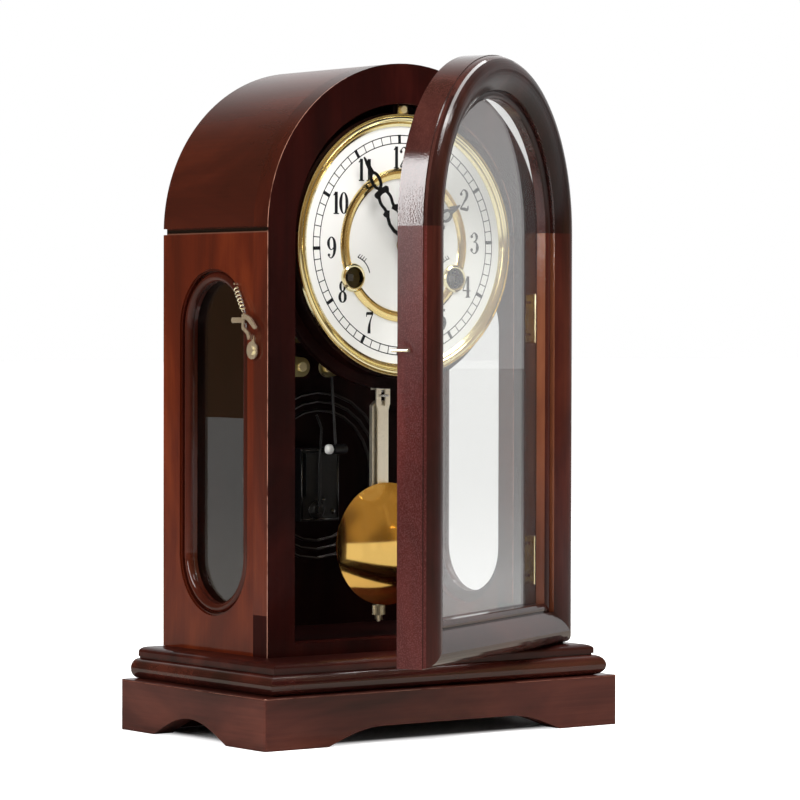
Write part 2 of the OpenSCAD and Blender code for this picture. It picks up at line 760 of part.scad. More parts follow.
// Hook: in the plane of the side, first coordinate backwards, second upwards, from the pivot
module latch_hook() color("#e0c67c") {
    translate([0, latch_cy, latch_z]) difference() {
        union() {
            xcyl(0, 0, eye_x, eye_x + latch_t, 3.2);
            yz(eye_x, eye_x + latch_t) polygon([[-1.4, 1], [1.4, 1], [1.7, 9.2], [-0.5, 9.2]]);
            box(hook_x, eye_x + latch_t, -0.5, 1.7, 6.4, 9.2);
            yz(hook_x, hook_x + latch_t)
                polygon([[-0.5, 6.4], [1.7, 6.4], [2.8, 9.6], [8, 12.8], [8, 21.4], [5.8, 21.4], [5.8, 14.2],
                         [0.6, 10.8]]);
            yz(hook_x, hook_x + latch_t)
                polygon([[6.2, 22.4], [8.2, 19.8], [1.8, 17.6], [-4.4, 12.9], [-6.2, 14.7], [-1.2, 19.6]]);
            xcyl(-5.3, 13.8, hook_x, hook_x + latch_t, 1.25);
            yz(hook_x, hook_x + latch_t) translate([6.8, 16.4]) square([10.6, 3.2]);
            xcyl(17.4, 18, hook_x, hook_x + latch_t, 1.6);
        }
        xcyl(0, 0, eye_x - 1, eye_x + latch_t + 1, 1.6 + run);
    }
}
spring_low = [hook_x + 0.6, latch_cy + 6.5, latch_z + 23.4];
spring_high = [-half_w - 2.3, latch_cy + 16.9, latch_z + 38];
// A coil spring between two points as one swept tube
function spring_axis() = spring_high - spring_low;
function spring_frame() =
    let (w = spring_axis() / norm(spring_axis()), u = cross(w, [1, 0, 0]) / norm(cross(w, [1, 0, 0])))
    [u, cross(w, u), w];
latch_coil_r = 1.5;
latch_coil_wire = 0.42;
latch_turns = 7;
latch_rings = 8 * latch_turns;
function coil_radius(t) = latch_coil_r * min(1, max(0.15, min(t + 0.02, 1.02 - t) * latch_turns * 2));
function coil_point(t) =
    let (f = spring_frame(), a = 360 * latch_turns * t)
    spring_low + spring_axis() * t + coil_radius(t) * (cos(a) * f[0] + sin(a) * f[1]);
function coil_ring(t, sides) =
    let (d = 0.002, q = coil_point(t + d) - coil_point(t - d), w = q / norm(q),
         f = spring_frame(), a = 360 * latch_turns * t,
         r = cos(a) * f[0] + sin(a) * f[1], n = (r - w * (r * w)) / norm(r - w * (r * w)), b = cross(w, n))
    [for (k = [0 : sides - 1])
        coil_point(t) + latch_coil_wire * (cos(360 * k / sides) * n + sin(360 * k / sides) * b)];
module tube(rings) {
    n = len(rings);
    m = len(rings[0]);
    points = [for (r = rings) for (p = r) p];
    sides = [for (i = [0 : n - 2], k = [0 : m - 1]) let (a = i * m + k, b = i * m + (k + 1) % m)
             each [[a, b + m, b], [a, a + m, b + m]]];
    cap0 = [for (k = [1 : m - 2]) [0, k, k + 1]];
    cap1 = [for (k = [1 : m - 2]) [(n - 1) * m, (n - 1) * m + k + 1, (n - 1) * m + k]];
    polyhedron(points, concat(sides, cap0, cap1));
}
module latch_spring() color("#d8c88c") {
    tube([for (i = [0 : latch_rings]) coil_ring(i / latch_rings, 6)]);
}

// Fixing lug on top of the bezel and its screw
lug_w = 8;
lug_top = arch_z + opening_half - 1;
lug_z = (dial_z + bezel_r + lug_top) / 2 + 0.2;
module dial_ring_board() color("#21100c") {
    difference() {
        union() {
            spin_y(0, dial_z) {
                translate([ring_in, ring_y0]) square([ring_r - ring_in, frame_y1 - ring_y0 + flange_t]);
                translate([ring_in + 4, frame_y1]) square([inner_half - 0.4 - ring_in - 4, flange_t]);
            }
            box(-lug_w / 2 - 2.5, lug_w / 2 + 2.5, ring_y0, frame_y1, dial_z + ring_in, lug_top + 0.4);
        }
        ycyl(0, lug_z, ring_y0 - 1, ring_y0 + 8, screw_r);
    }
}
module dial_plate() color("#f2f1ec") {
    difference() {
        ycyl(0, dial_z, dial_y, ring_y0, bezel_in + 1.6);
        ycyl(0, dial_z, dial_y - 1, ring_y0 + 1, hour_pipe_r + 0.6);
        for (s = [-1, 1]) ycyl(s * arbor_gap / 2, dial_z - arbor_drop, dial_y - 1, ring_y0 + 1, ferrule_hole_r + 0.9);
    }
}
module dial_bezel() color("#cda44a") {
    front = case_y0 + 0.3;
    spin_y(0, dial_z) polygon([
        [bezel_in, dial_y], [bezel_in, dial_y - 0.5], [bezel_in + 1.6, dial_y - 1.5], [bezel_in + 1.8, dial_y - 1.2],
        [bezel_in + 2.1, dial_y - 1.8], [bezel_in + 2.5, dial_y - 1.8], [bezel_in + 2.8, dial_y - 1.3],
        [bezel_in + 3.6, dial_y - 1.8], [bezel_in + 4.1, front + 0.4], [bezel_in + 4.9, front],
        [bezel_in + 5.7, front + 0.1], [bezel_in + 6.3, front + 0.8], [bezel_in + 6.5, front + 1.5],
        [bezel_in + 6.8, front + 0.5], [bezel_r, front + 0.5], [bezel_r, ring_y0], [bezel_in + 1.7, ring_y0],
        [bezel_in + 1.7, dial_y]]);
    difference() {
        box(-lug_w / 2, lug_w / 2, ring_y0 - 1, ring_y0, dial_z + bezel_r - 3, lug_top);
        ycyl(0, lug_z, ring_y0 - 2, ring_y0 + 1, screw_r + run);
    }
}
module dial_inner_ring() color("#c89a3c") {
    rise = 1.7;
    steps = 6;
    difference() {
        spin_y(0, dial_z)
            polygon([for (i = [0 : steps]) let (a = 180 * i / steps)
                     [inner_ring_r + inner_ring_w / 2 * (1 - cos(a)), dial_y - rise * sin(a)]]);
        for (s = [-1, 1])
            ycyl(s * arbor_gap / 2, dial_z - arbor_drop, dial_y - 5, dial_y + 1, ferrule_r);
    }
}
module winding_ferrules() color("#cda44a") {
    for (s = [-1, 1]) spin_y(s * arbor_gap / 2, dial_z - arbor_drop)
        polygon([[ferrule_hole_r, dial_y - 1.6], [ferrule_hole_r + 0.7, dial_y - 1.9], [ferrule_r - 0.5, dial_y - 1.2],
                 [ferrule_r, dial_y], [ferrule_hole_r + 0.9, dial_y], [ferrule_hole_r + 0.9, ring_y0 + 0.8],
                 [ferrule_hole_r, ring_y0 + 0.8]]);
}

// Plate outline in the plane of the dial, measured from the dial centre
// Right half of each plate's outline, ending on the middle line. The front plate's ears point
// outwards and the back plate's point inwards.
ear_r = 6;
plate_sides = [[41, 57], [52, 24], [52, -30]];
front_half = [[49, -59], [30, -62], [26, ear_r - ear_drop], [ear_x, ear_r - ear_drop],
              [ear_x, -ear_r - ear_drop], [14, -3 - ear_drop], [0, -2 - ear_drop]];
back_half = [[50, -60], [50, 2 - ear_r - ear_drop], [46, -ear_r - ear_drop], [ear_x, -ear_r - ear_drop],
             [ear_x, ear_r - ear_drop], [39, ear_r + 0.6 - ear_drop], [40, -60], [0, -60]];
module plate_outline(lower_half) {
    right = concat(plate_sides, lower_half);
    polygon(concat(right, [for (i = [len(right) - 2 : -1 : 0]) [-right[i][0], right[i][1]]]));
    for (s = [-1, 1]) translate([s * ear_x, -ear_drop]) circle(ear_r);
}
function arbor_holes() = [
    [centre_at, centre_r], [time_at, winding_r], [strike_at, winding_r], [time_second_at, arbor_r],
    [strike_second_at, arbor_r], [fourth_at, arbor_r], [escape_at, arbor_r], [pin_at, arbor_r],
    [fly_at, arbor_r], [hammer_at, arbor_r]];
module plate(y0, lower_half) {
    xz(y0, y0 + plate_t) translate([0, dial_z]) difference() {
        plate_outline(lower_half);
        for (h = arbor_holes()) translate(h[0]) circle(h[1] + run);
        for (s = [-1, 1]) translate([s * ear_x, -ear_drop]) circle(screw_r + run);
        for (s = [-1, 1]) translate([s * ear_x, pillar_rise]) circle(screw_r + run);
        for (s = [-1, 1]) translate([s * spring_post_at[0], spring_post_at[1]]) circle(screw_r);
    }
}
verge_y0 = escape_y - 2;
verge_y1 = plate_y - 0.4;
stud_r = 0.8;
post_z = pivot_z + 5;
module movement_front_plate() color("#c7a04a") {
    plate(plate_y, front_half);
    ycyl(0, pivot_z, verge_y0 - 0.6, plate_y + 0.5, stud_r);
    ycyl(0, pivot_z, verge_y0 - 0.6, verge_y0 - 0.1, 1.2);
    at(minute_at) {
        ycyl(0, 0, hour_y - 1, plate_y + 0.5, arbor_r);
        ycyl(0, 0, hour_y - 1, hour_y - 0.4, 2);
    }
    difference() {
        box(-4, 4, pend_y - 3.2, plate_y + eps, post_z, post_z + 5.5);
        box(-0.3, 0.3, pend_y - 4, pend_y + 2.2, post_z - 1, post_z + 6);
    }
}
module movement_back_plate() color("#c7a04a") {
    plate(back_plate_y, back_half);
    for (s = [-1, 1]) difference() {
        ycyl(s * ear_x, upper_z, plate_in, back_plate_y, pillar_r);
        ycyl(s * ear_x, upper_z, plate_in - 1, back_plate_y + 1, screw_r + run);
    }
    for (s = [-1, 1]) {
        ycyl(s * spring_post_at[0], dial_z + spring_post_at[1], plate_in, back_plate_y + eps, spring_post_r);
        ycyl(s * spring_post_at[0], dial_z + spring_post_at[1], plate_y - 1.6, plate_in + eps, screw_r);
    }
}
module pillar_nuts() color("#b9974a") {
    for (s = [-1, 1]) translate([s * spring_post_at[0], 0, dial_z + spring_post_at[1]]) difference() {
        translate([0, plate_y, 0]) rotate([90, 0, 0]) cylinder(h = 1.9, r = 3.2, $fn = 6);
        ycyl(0, 0, plate_y - 3, plate_y + 1, screw_r);
    }
}

// Spiral strip of a mainspring, drawn about its own arbor, with its outer end led to its post
spring_turns = 9;
spring_in_r = core_r + 0.3;
spring_out_r = 26;
spring_t = 0.5;
module spiral_strip(end_at) {
    steps = 20 * spring_turns;
    stop = heading([0, 0], end_at);
    outer = [for (i = [0 : steps]) let (t = i / steps, a = stop - 360 * spring_turns * (1 - t),
             r = spring_in_r + (spring_out_r - spring_in_r) * t) (r + spring_t) * [cos(a), sin(a)]];
    inner = [for (i = [0 : steps]) let (t = 1 - i / steps, a = stop - 360 * spring_turns * (1 - t),
             r = spring_in_r + (spring_out_r - spring_in_r) * t) r * [cos(a), sin(a)]];
    polygon(concat(outer, inner));
    difference() {
        union() {
            rotate(stop) translate([spring_out_r + 0.1, -0.5]) square([norm(end_at) - spring_out_r - 1, 1]);
            translate(end_at) circle(spring_post_r + 0.8);
        }
        translate(end_at) circle(spring_post_r);
    }
}
module mainsprings() color("#3d4a63") {
    for (s = [0, 1]) mirror([s, 0, 0]) translate([time_at[0], 0, dial_z + time_at[1]])
        xz(spring_y, spring_y + mainspring_w) spiral_strip(spring_post_at - time_at);
}

// Wheel outline with n straight-flanked teeth; slim sets how much of the pitch a tooth leaves free
module gear(n, m, tooth = 0.36) {
    root = n * m / 2 - 1.15 * m;
    mid = n * m / 2;
    tip = n * m / 2 + 0.85 * m;
    step = 360 / n;
    polygon([for (i = [0 : n - 1]) let (a = i * step)
             each [root * [cos(a - step * 0.25), sin(a - step * 0.25)],
                   mid * [cos(a - step * tooth / 2), sin(a - step * tooth / 2)],
                   tip * [cos(a - step * 0.06), sin(a - step * 0.06)],
                   tip * [cos(a + step * 0.06), sin(a + step * 0.06)],
                   mid * [cos(a + step * tooth / 2), sin(a + step * tooth / 2)],
                   root * [cos(a + step * 0.25), sin(a + step * 0.25)]]]);
}
// Wheel with its crossings cut out; phase is the heading of a tooth
module wheel(n, m, phase, hub_r, arms) {
    rim = n * m / 2 - 1.15 * m - 2.2;
    difference() {
        rotate(phase) gear(n, m);
        if (arms > 0) difference() {
            circle(rim);
            circle(hub_r);
            for (i = [0 : arms - 1]) rotate(phase + 360 * i / arms) translate([0, -1.2]) square([rim + 1, 2.4]);
        }
    }
}
module at(p) { translate([p[0], 0, dial_z + p[1]]) children(); }
// Phase of a gear with n teeth that puts a gap on the line towards its mate
function gap_phase(n, from, to) = heading(from, to) + 180 / n;

module winding_arbor(p) {
    at(p) {
        union() {
            ycyl(0, 0, plate_y - 14, back_plate_y1 - 0.2, winding_r);
            box(-2.1, 2.1, dial_y + 2.4, plate_y - 13, -2.1, 2.1);
            xz(great_y + great_t + 0.3, great_y + great_t + 1.9)
                polygon([for (i = [0 : 19]) each [8.4 * [cos(18 * i), sin(18 * i)], 6.8 * [cos(18 * i + 2), sin(18 * i + 2)]]]);
            ycyl(0, 0, spring_y, spring_y + mainspring_w, core_r);
        }
    }
}
module time_winding_arbor() color("#a9a9a4") winding_arbor(time_at);
module strike_winding_arbor() color("#a9a9a4") winding_arbor(strike_at);
module great_wheel(p, mate) {
    at(p) {
        difference() {
            xz(great_y, great_y + great_t) wheel(great_n, great_m, heading(p, mate), 13, 4);
            ycyl(0, 0, great_y - 1, great_y + great_t + 1, winding_r + run);
        }
        xz(great_y + great_t - eps, great_y + great_t + 1.6)
            polygon([[8.7, -1.6], [12.2, -0.4], [12.2, 2.2], [8.8, 0.2]]);
    }
}
module time_great_wheel() color("#caa54e") great_wheel(time_at, time_second_at);
module strike_great_wheel() color("#caa54e") great_wheel(strike_at, strike_second_at);

module train_wheel(p, y0, n, m, phase, hub_r) {
    at(p) xz(y0, y0 + wheel_t) wheel(n, m, phase, hub_r, 4);
}
module pinion(p, y0, y1, n, m, phase) {
    at(p) xz(y0, y1) rotate(phase) gear(n, m, 0.34);
}
module arbor(p, y0, y1, r) { at(p) ycyl(0, 0, y0, y1, r); }
arbor_y0 = plate_y + 0.2;
arbor_y1 = back_plate_y1 - 0.2;

module second_wheel(p, great_p, next_p, y0) {
    arbor(p, arbor_y0, arbor_y1, arbor_r);
    pinion(p, great_y - 0.3, great_y + great_t + 0.4, second_pinion_n, great_m, gap_phase(second_pinion_n, p, great_p));
    train_wheel(p, y0, second_n, second_m, heading(p, next_p), 4);
}
module time_second_wheel() color("#caa54e") second_wheel(time_second_at, time_at, centre_at, second_y);
module strike_second_wheel() color("#caa54e") second_wheel(strike_second_at, strike_at, pin_at, strike_y);
module centre_wheel() color("#caa54e") {
    arbor(centre_at, minute_hand_y - hand_t - 3.4, arbor_y1, centre_r);
    pinion(centre_at, second_y - 0.3, second_y + wheel_t + 0.3, centre_pinion_n, second_m,
           gap_phase(centre_pinion_n, centre_at, time_second_at));
    train_wheel(centre_at, centre_y, centre_n, centre_m, heading(centre_at, fourth_at), 4);
}
module fourth_wheel() color("#caa54e") {
    arbor(fourth_at, arbor_y0, arbor_y1, arbor_r);
    pinion(fourth_at, centre_y - 0.3, centre_y + wheel_t + 0.3, fourth_pinion_n, centre_m,
           gap_phase(fourth_pinion_n, fourth_at, centre_at));
    train_wheel(fourth_at, fourth_y, fourth_n, fourth_m, heading(fourth_at, escape_at), 3.4);
}
escape_r = 12.5;
module escape_wheel() color("#caa54e") {
    arbor(escape_at, escape_y - 0.6, arbor_y1, arbor_r - 0.3);
    arbor(escape_at, arbor_y0, arbor_y0 + plate_t, arbor_r);
    arbor(escape_at, back_plate_y - 0.4, arbor_y1, arbor_r);
    pinion(escape_at, fourth_y - 0.3, fourth_y + wheel_t + 0.3, escape_pinion_n, fourth_m,
           gap_phase(escape_pinion_n, escape_at, fourth_at));
    step = 360 / escape_n;
    at(escape_at) xz(escape_y, escape_y + wheel_t) difference() {
        polygon([for (i = [0 : escape_n - 1]) let (a = i * step)
                 each [(escape_r - 1.7) * [cos(a - 0.42 * step), sin(a - 0.42 * step)],
                       escape_r * [cos(a - 0.08 * step), sin(a - 0.08 * step)],
                       escape_r * [cos(a + 0.04 * step), sin(a + 0.04 * step)],
                       (escape_r - 1.7) * [cos(a + 0.22 * step), sin(a + 0.22 * step)]]]);
        difference() {
            circle(escape_r - 3.4);
            circle(3);
            for (i = [0 : 3]) rotate(90 * i) translate([0, -0.8]) square([escape_r, 1.6]);
        }
    }
}
// Verge strip over the escape wheel, its pallets just clear of the teeth, with the crutch below it
pallet_heading = 48;
pallet_clear = 1.2;
crutch_z = pivot_z - 44;
module verge_and_crutch() color("#b9b4a6") {
    drop = -escape_at[1] - pivot_drop;
    tx = (escape_r + pallet_clear) * sin(pallet_heading);
    tz = (escape_r + pallet_clear) * cos(pallet_heading) - drop;
    wire_y = verge_y0 + 0.9;
    fork_z = crutch_z - pivot_z;
    translate([0, 0, pivot_z]) difference() {
        union() {
            ycyl(0, 0, verge_y0, verge_y1, 1.6);
            xz(escape_y - 0.6, escape_y + wheel_t + 0.6)
                polygon([[-tx, tz], [-tx - 1.3, tz + 0.4], [-tx - 0.2, -1.8], [0, 1.5], [tx + 0.2, -1.8],
                         [tx + 1.3, tz + 0.4], [tx, tz], [tx - 0.3, tz + 1.4], [tx - 1.6, -2.9], [0, -0.9],
                         [-tx + 1.6, -2.9], [-tx + 0.3, tz + 1.4]]);
            xz(verge_y0, wire_y)
                polygon([[-1, -0.5], [1, 0.5], [4, -8], [4, fork_z - 0.5], [2.8, fork_z - 0.5], [2.8, -8]]);
            box(-3.4, 4, pend_y - 2.4, wire_y, fork_z - 0.5, fork_z + 0.5);
        }
        box(-leader_r - 0.3, leader_r + 0.3, pend_y - 3, pend_y + 1.4, fork_z - 1, fork_z + 1);
        ycyl(0, 0, verge_y0 - 1, verge_y1 + 1, stud_r + run);
    }
}

module cannon_pinion() color("#c7a04a") {
    difference() {
        union() {
            pinion(centre_at, minute_y, plate_y - 0.4, cannon_n, motion_m, gap_phase(cannon_n, centre_at, minute_at));
            arbor(centre_at, minute_hand_y - hand_t, minute_y + eps, cannon_pipe_r - run);
        }
        arbor(centre_at, minute_hand_y - 10, plate_y + 1, centre_r + run);
    }
}
module minute_wheel() color("#caa54e") {
    difference() {
        union() {
            at(minute_at) xz(minute_y, minute_y + motion_t) wheel(minute_n, motion_m, heading(minute_at, centre_at), 3, 0);
            pinion(minute_at, hour_y - 0.2, minute_y + eps, minute_pinion_n, hour_m, gap_phase(minute_pinion_n, minute_at, centre_at));
        }
        arbor(minute_at, hour_y - 2, plate_y + 1, arbor_r + run);
    }
}
module hour_wheel() color("#caa54e") {
    difference() {
        union() {
            at(centre_at) xz(hour_y, hour_y + motion_t) wheel(hour_n, hour_m, heading(centre_at, minute_at), 6, 0);
            arbor(centre_at, hour_hand_y - hand_t, hour_y + eps, hour_pipe_r);
        }
        arbor(centre_at, hour_hand_y - 3, hour_y + motion_t + 1, hour_bore_r);
    }
}

// Pierced serpentine hand of length l pointing up, its back in the plane y = 0; wide scales it across
module serpentine_hand(l, wide, hub) {
    k = l / 62.5;
    eye = 45.9;
    function oval(a, b) = [for (i = [0 : 23]) [b * wide * sin(15 * i), k * (eye + a * cos(15 * i))]];
    function half(points) = [for (p = points) [wide * p[0], k * p[1]]];
    function whole(points) = concat(points, [for (i = [len(points) - 1 : -1 : 0]) [-points[i][0], points[i][1]]]);
    blade = half([[0.35, 62.5], [1.1, 58.5], [1.4, 54.2], [1.6, 50.8]]);
    body = half([[1.6, 41], [1.8, 39.9], [4.8, 39.6], [5.8, 38.4], [5.6, 37], [4.7, 35.4], [5.2, 32.6], [5, 30.4], [4.4, 28],
                 [4.3, 26.5], [6.3, 25.6], [6.1, 24.3], [5.2, 22.6], [6.3, 18], [5.6, 13], [3.4, 8], [2.4, 3]]);
    hole = half([[0.1, 36.6], [2.3, 36.2], [3, 34.8], [3.5, 32.4], [3.3, 30.4], [2.7, 28.4], [2.6, 26.6], [1.1, 25.3], [2.2, 23.8],
                 [3.3, 22], [4.4, 18], [3.6, 13.4], [1, 9.6]]);
    difference() {
        union() {
            ycyl(0, 0, -hand_t, 0, hub);
            xz(-hand_t, 0) polygon(whole(blade));
            xz(-hand_t, 0) polygon(oval(6.3, 3.9));
            xz(-hand_t, 0) polygon(whole(body));
        }
        xz(-hand_t - 1, 1) polygon(whole(hole));
        xz(-hand_t - 1, 1) polygon(oval(4.4, 2));
    }
}
minute_angle = 32.5;
hour_angle = -57.5;
module minute_hand() color("#101012") {
    difference() {
        translate([0, minute_hand_y, dial_z]) rotate([0, -minute_angle, 0])
            serpentine_hand(62.5, 1, 4.6);
        arbor(centre_at, minute_hand_y - 3, minute_hand_y + 3, cannon_pipe_r - run + 0.02);
    }
}
module hour_hand() color("#101012") {
    difference() {
        translate([0, hour_hand_y, dial_z]) rotate([0, -hour_angle, 0])
            serpentine_hand(47, 1.05, 5.6);
        arbor(centre_at, hour_hand_y - 3, hour_hand_y + 3, hour_pipe_r + 0.02);
    }
}
module hand_nut() color("#cda44a") {
    y1 = minute_hand_y - hand_t;
    difference() {
        union() {
            ycyl(0, dial_z, y1 - 1.6, y1, 3.4);
            translate([0, y1 - 1.6, dial_z]) rotate([90, 0, 0]) cylinder(h = 0.8, r1 = 3.4, r2 = 2.4);
        }
        arbor(centre_at, y1 - 4, y1 + 1, centre_r + run);
    }
}

pin_count = 8;
pin_circle = 9.5;
module strike_pin_wheel() color("#caa54e") {
    arbor(pin_at, arbor_y0, arbor_y1, arbor_r);
    pinion(pin_at, strike_y - 0.3, strike_y + wheel_t + 0.2, pin_pinion_n, second_m,
           gap_phase(pin_pinion_n, pin_at, strike_second_at));
    train_wheel(pin_at, pin_y, pin_n, pin_m, heading(pin_at, fly_at), 4);
    at(pin_at) for (i = [0 : pin_count - 1]) rotate([0, -360 * i / pin_count, 0])
        ycyl(pin_circle, 0, pin_y - 2.6, pin_y + eps, 0.6);
}
module strike_fly() color("#caa54e") {
    arbor(fly_at, arbor_y0, arbor_y1, arbor_r);
    pinion(fly_at, pin_y - 0.3, pin_y + wheel_t + 0.3, fly_pinion_n, pin_m, gap_phase(fly_pinion_n, fly_at, pin_at));
    at(fly_at) rotate([0, 30, 0]) box(-9, 9, pin_y + 3, pin_y + 10, -0.35, 0.35);
}

module gong_block() color("#15171a") {
    x0 = block_x - block_w / 2;
    z0 = block_z - block_h / 2;
    front = back_y0 - block_d;
    hub_z = z0 + 7;
    hub_x = block_x - 3;
    wire_y = front - 4;
    box(x0, x0 + block_w, front, back_y0, z0, z0 + block_h);
    box(x0 + 3, x0 + block_w - 3, front - 2, front + 1, z0 + 16, z0 + block_h - 3);
    spin_y(hub_x, hub_z)
        polygon([[0, front + 1], [5.6, front + 1], [5.6, front - 1.6], [3.9, front - 3.2], [2.4, front - 3.2],
                 [2.4, front - 5.4], [0, front - 5.4]]);
    bar_between([hub_x, wire_y, hub_z], [hub_x, wire_y, hub_z + 30], 0.9);
    bar_between([hub_x, wire_y, hub_z + 29.6], [hub_x + 1.4, wire_y, hub_z + 52], 0.8);
    bar_between([hub_x + 1.4, wire_y, hub_z + 51.6], [hub_x - 2.4, wire_y, hub_z + 60], 0.8);
}
// Flat spiral of the gong wire, its inner end let into the underside of the block
gong_turns = 3;
gong_steps = 24;
gong_lead = 6;
function gong_path() =
    let (n = gong_turns * gong_steps)
    [for (i = [-1 : n + gong_lead + 1])
        let (k = max(0, i - n) / gong_lead, a = 180 + 15 * i,
             r = gong_r - gong_pitch * i / gong_steps - 9.6 * k * k)
        [gong_x + r * cos(a), gong_y, gong_z + r * sin(a)]];
function gong_ring(path, i, sides) =
    let (q = path[i + 1] - path[i - 1], w = q / norm(q), n = [0, 1, 0], b = cross(w, n))
    [for (k = [0 : sides - 1]) path[i] + gong_wire_r * (cos(360 * k / sides) * n + sin(360 * k / sides) * b)];
module gong_coil() color("#2a2c30") {
    path = gong_path();
    tube([for (i = [1 : len(path) - 2]) gong_ring(path, i, 6)]);
}

// Hammer: arbor between the plates, lifting tail by the pin wheel, wire down to the head
module hammer() color("#26272a") {
    reach = norm(pin_at - hammer_at) - pin_circle - 0.6 - 0.4;
    bend_y = back_plate_y1 + 4;
    head_z = dial_z + head_at[1];
    knee = [0, bend_y, dial_z - 62];
    shin = [head_at[0] - 4, head_y, dial_z - 76];
    arbor(hammer_at, arbor_y0, bend_y + 1, arbor_r);
    at(hammer_at) rotate([0, -heading(hammer_at, pin_at), 0]) box(0, reach, pin_y - 2.4, pin_y - 1.2, -0.8, 0.8);
    bar_between([hammer_at[0], bend_y, dial_z + hammer_at[1]], knee, 0.9);
    bar_between(knee + [0, -0.5, 0.3], shin, 0.9);
    bar_between(shin + [0, -0.3, 0.6], [head_at[0], head_y, head_z], 0.9);
    translate([head_at[0], head_y, head_z]) rotate([0, 90, 0]) rotate_extrude()
        polygon([[0, -7.5], [1.6, -7.5], [2.7, -6.9], [3.1, -5.9], [3.1, -3.9], [2.5, -3.3], [2.2, -2.9],
                 [2.2, -2.1], [3.1, -2.1], [3.1, 7.5], [0, 7.5]]);
}

block_low = head_top - 3.4;
module suspension_spring() color("#9a9a92") {
    box(-0.2, 0.2, pend_y - 2.4, pend_y + 1.8, pivot_z - 8, post_z + 5);
    box(-1.6, 1.6, pend_y - 2.6, pend_y + 1.8, pivot_z - 13, pivot_z - 7.5);
    zcyl(0, pend_y - 0.3, cross_z - 1, pivot_z - 12.5, leader_r);
    zcyl(0, pend_y - 0.3, block_low - 1.4, block_low, 1.9);
    box(-1.1, 1.1, strip_y - 1.2, pend_y, cross_z - 1.6, cross_z);
    xcyl(strip_y - 0.7, cross_z - 0.8, -3.2, 3.2, 0.7);
}
// Rod: front strip with the slotted head, wider bar behind it, threaded spindle below
module pendulum_rod() color("#b99a52") {
    head_w = 10.4;
    neck = head_top - 10;
    slot_low = head_top - 13;
    difference() {
        xz(strip_y, strip_y + strip_t) difference() {
            polygon([[-head_w / 2, head_top], [-head_w / 2, neck - 2], [-strip_w / 2, neck - 6], [-strip_w / 2, bar_low + 4],
                     [strip_w / 2, bar_low + 4], [strip_w / 2, neck - 6], [head_w / 2, neck - 2], [head_w / 2, head_top]]);
            translate([-1.6, slot_low]) square([3.2, 10]);
        }
    }
    difference() {
        box(-head_w / 2, head_w / 2, strip_y + strip_t - eps, pend_y + 1.6, block_low, head_top);
        zcyl(0, pend_y - 0.3, head_top - 5, head_top + 1, leader_r + 0.15);
    }
    for (z = [bar_top - 4, bar_low + 10])
        ycyl(0, z, strip_y + strip_t - eps, pend_y - bar_t / 2 + eps, 1.6);
    xz(pend_y - bar_t / 2, pend_y + bar_t / 2)
        polygon([[-bar_w / 2 + 3, bar_top], [-bar_w / 2, bar_top - 3], [-bar_w / 2, bar_low],
                 [bar_w / 2, bar_low], [bar_w / 2, bar_top - 3], [bar_w / 2 - 3, bar_top]]);
    zcyl(0, pend_y, spindle_low, bar_low + eps, spindle_r);
}
module pendulum_bob() color("#d9b24a") {
    rim_y = bob_y - 3.4;
    sag_r = (bob_r * bob_r + bob_dome * bob_dome) / (2 * bob_dome);
    intersection() {
        translate([0, rim_y - bob_dome + sag_r, bob_z]) sphere(r = sag_r, $fn = 96);
        ycyl(0, bob_z, rim_y - bob_dome - 1, rim_y, bob_r);
    }
    spin_y(0, bob_z) polygon([[0, rim_y - eps], [bob_r, rim_y - eps], [bob_r, rim_y + 1], [bob_r - 5, bob_y], [0, bob_y]]);
    for (z = [bob_z - 12, bob_z + 12]) difference() {
        box(-bar_w / 2 - 1.4, bar_w / 2 + 1.4, bob_y - eps, pend_y + bar_t / 2 + 1.2, z - 4, z + 4);
        box(-bar_w / 2 - 0.2, bar_w / 2 + 0.2, strip_y, pend_y + bar_t / 2, z - 5, z + 5);
    }
}
module rating_nut() color("#c9a44c") {
    teeth = 24;
    difference() {
        union() {
            translate([0, pend_y, rating_z]) linear_extrude(rating_h)
                polygon([for (i = [0 : teeth - 1]) each [rating_r * [cos(15 * i), sin(15 * i)],
                         (rating_r - 0.35) * [cos(15 * i + 7.5), sin(15 * i + 7.5)]]]);
            zcyl(0, pend_y, rating_z - 3, rating_z + eps, 2.5);
        }
        zcyl(0, pend_y, rating_z - 5, rating_z + rating_h + 1, spindle_r + run);
    }
}

plinth_front_board();
plinth_rear_boards();
torus_moulding();
deck_board();
floor_board();
left_side_panel();
right_side_panel();
arch_roof();
front_frame();
back_panel();
wood_screws();
window_beads();
window_glasses();
latch_pivot_screw();
latch_spring();
hinge_case_leaves();
hinge_pins();
dial_ring_board();
dial_plate();
dial_bezel();
dial_inner_ring();
winding_ferrules();
movement_front_plate();
movement_back_plate();
pillar_nuts();
mainsprings();
gong_block();
gong_coil();
door_arch_head();
door_hinge_stile();
door_latch_stile();
door_bottom_rail();
door_glass();
door_glazing_bead();
door_catch_pin();
hinge_door_leaves();
latch_hook();
suspension_spring();
pendulum_rod();
pendulum_bob();
rating_nut();
verge_and_crutch();
time_winding_arbor();
strike_winding_arbor();
time_great_wheel();
time_second_wheel();
centre_wheel();
fourth_wheel();
escape_wheel();
cannon_pinion();
minute_wheel();
hour_wheel();
minute_hand();
hour_hand();
hand_nut();
strike_great_wheel();
strike_second_wheel();
strike_pin_wheel();
strike_fly();
hammer();
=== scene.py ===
"""Looks of the pendulum desk clock: lacquered mahogany, polished brass, printed dial, glass."""

import math
from collections import namedtuple

import bmesh
import bpy
from mathutils import Matrix, Quaternion, Vector


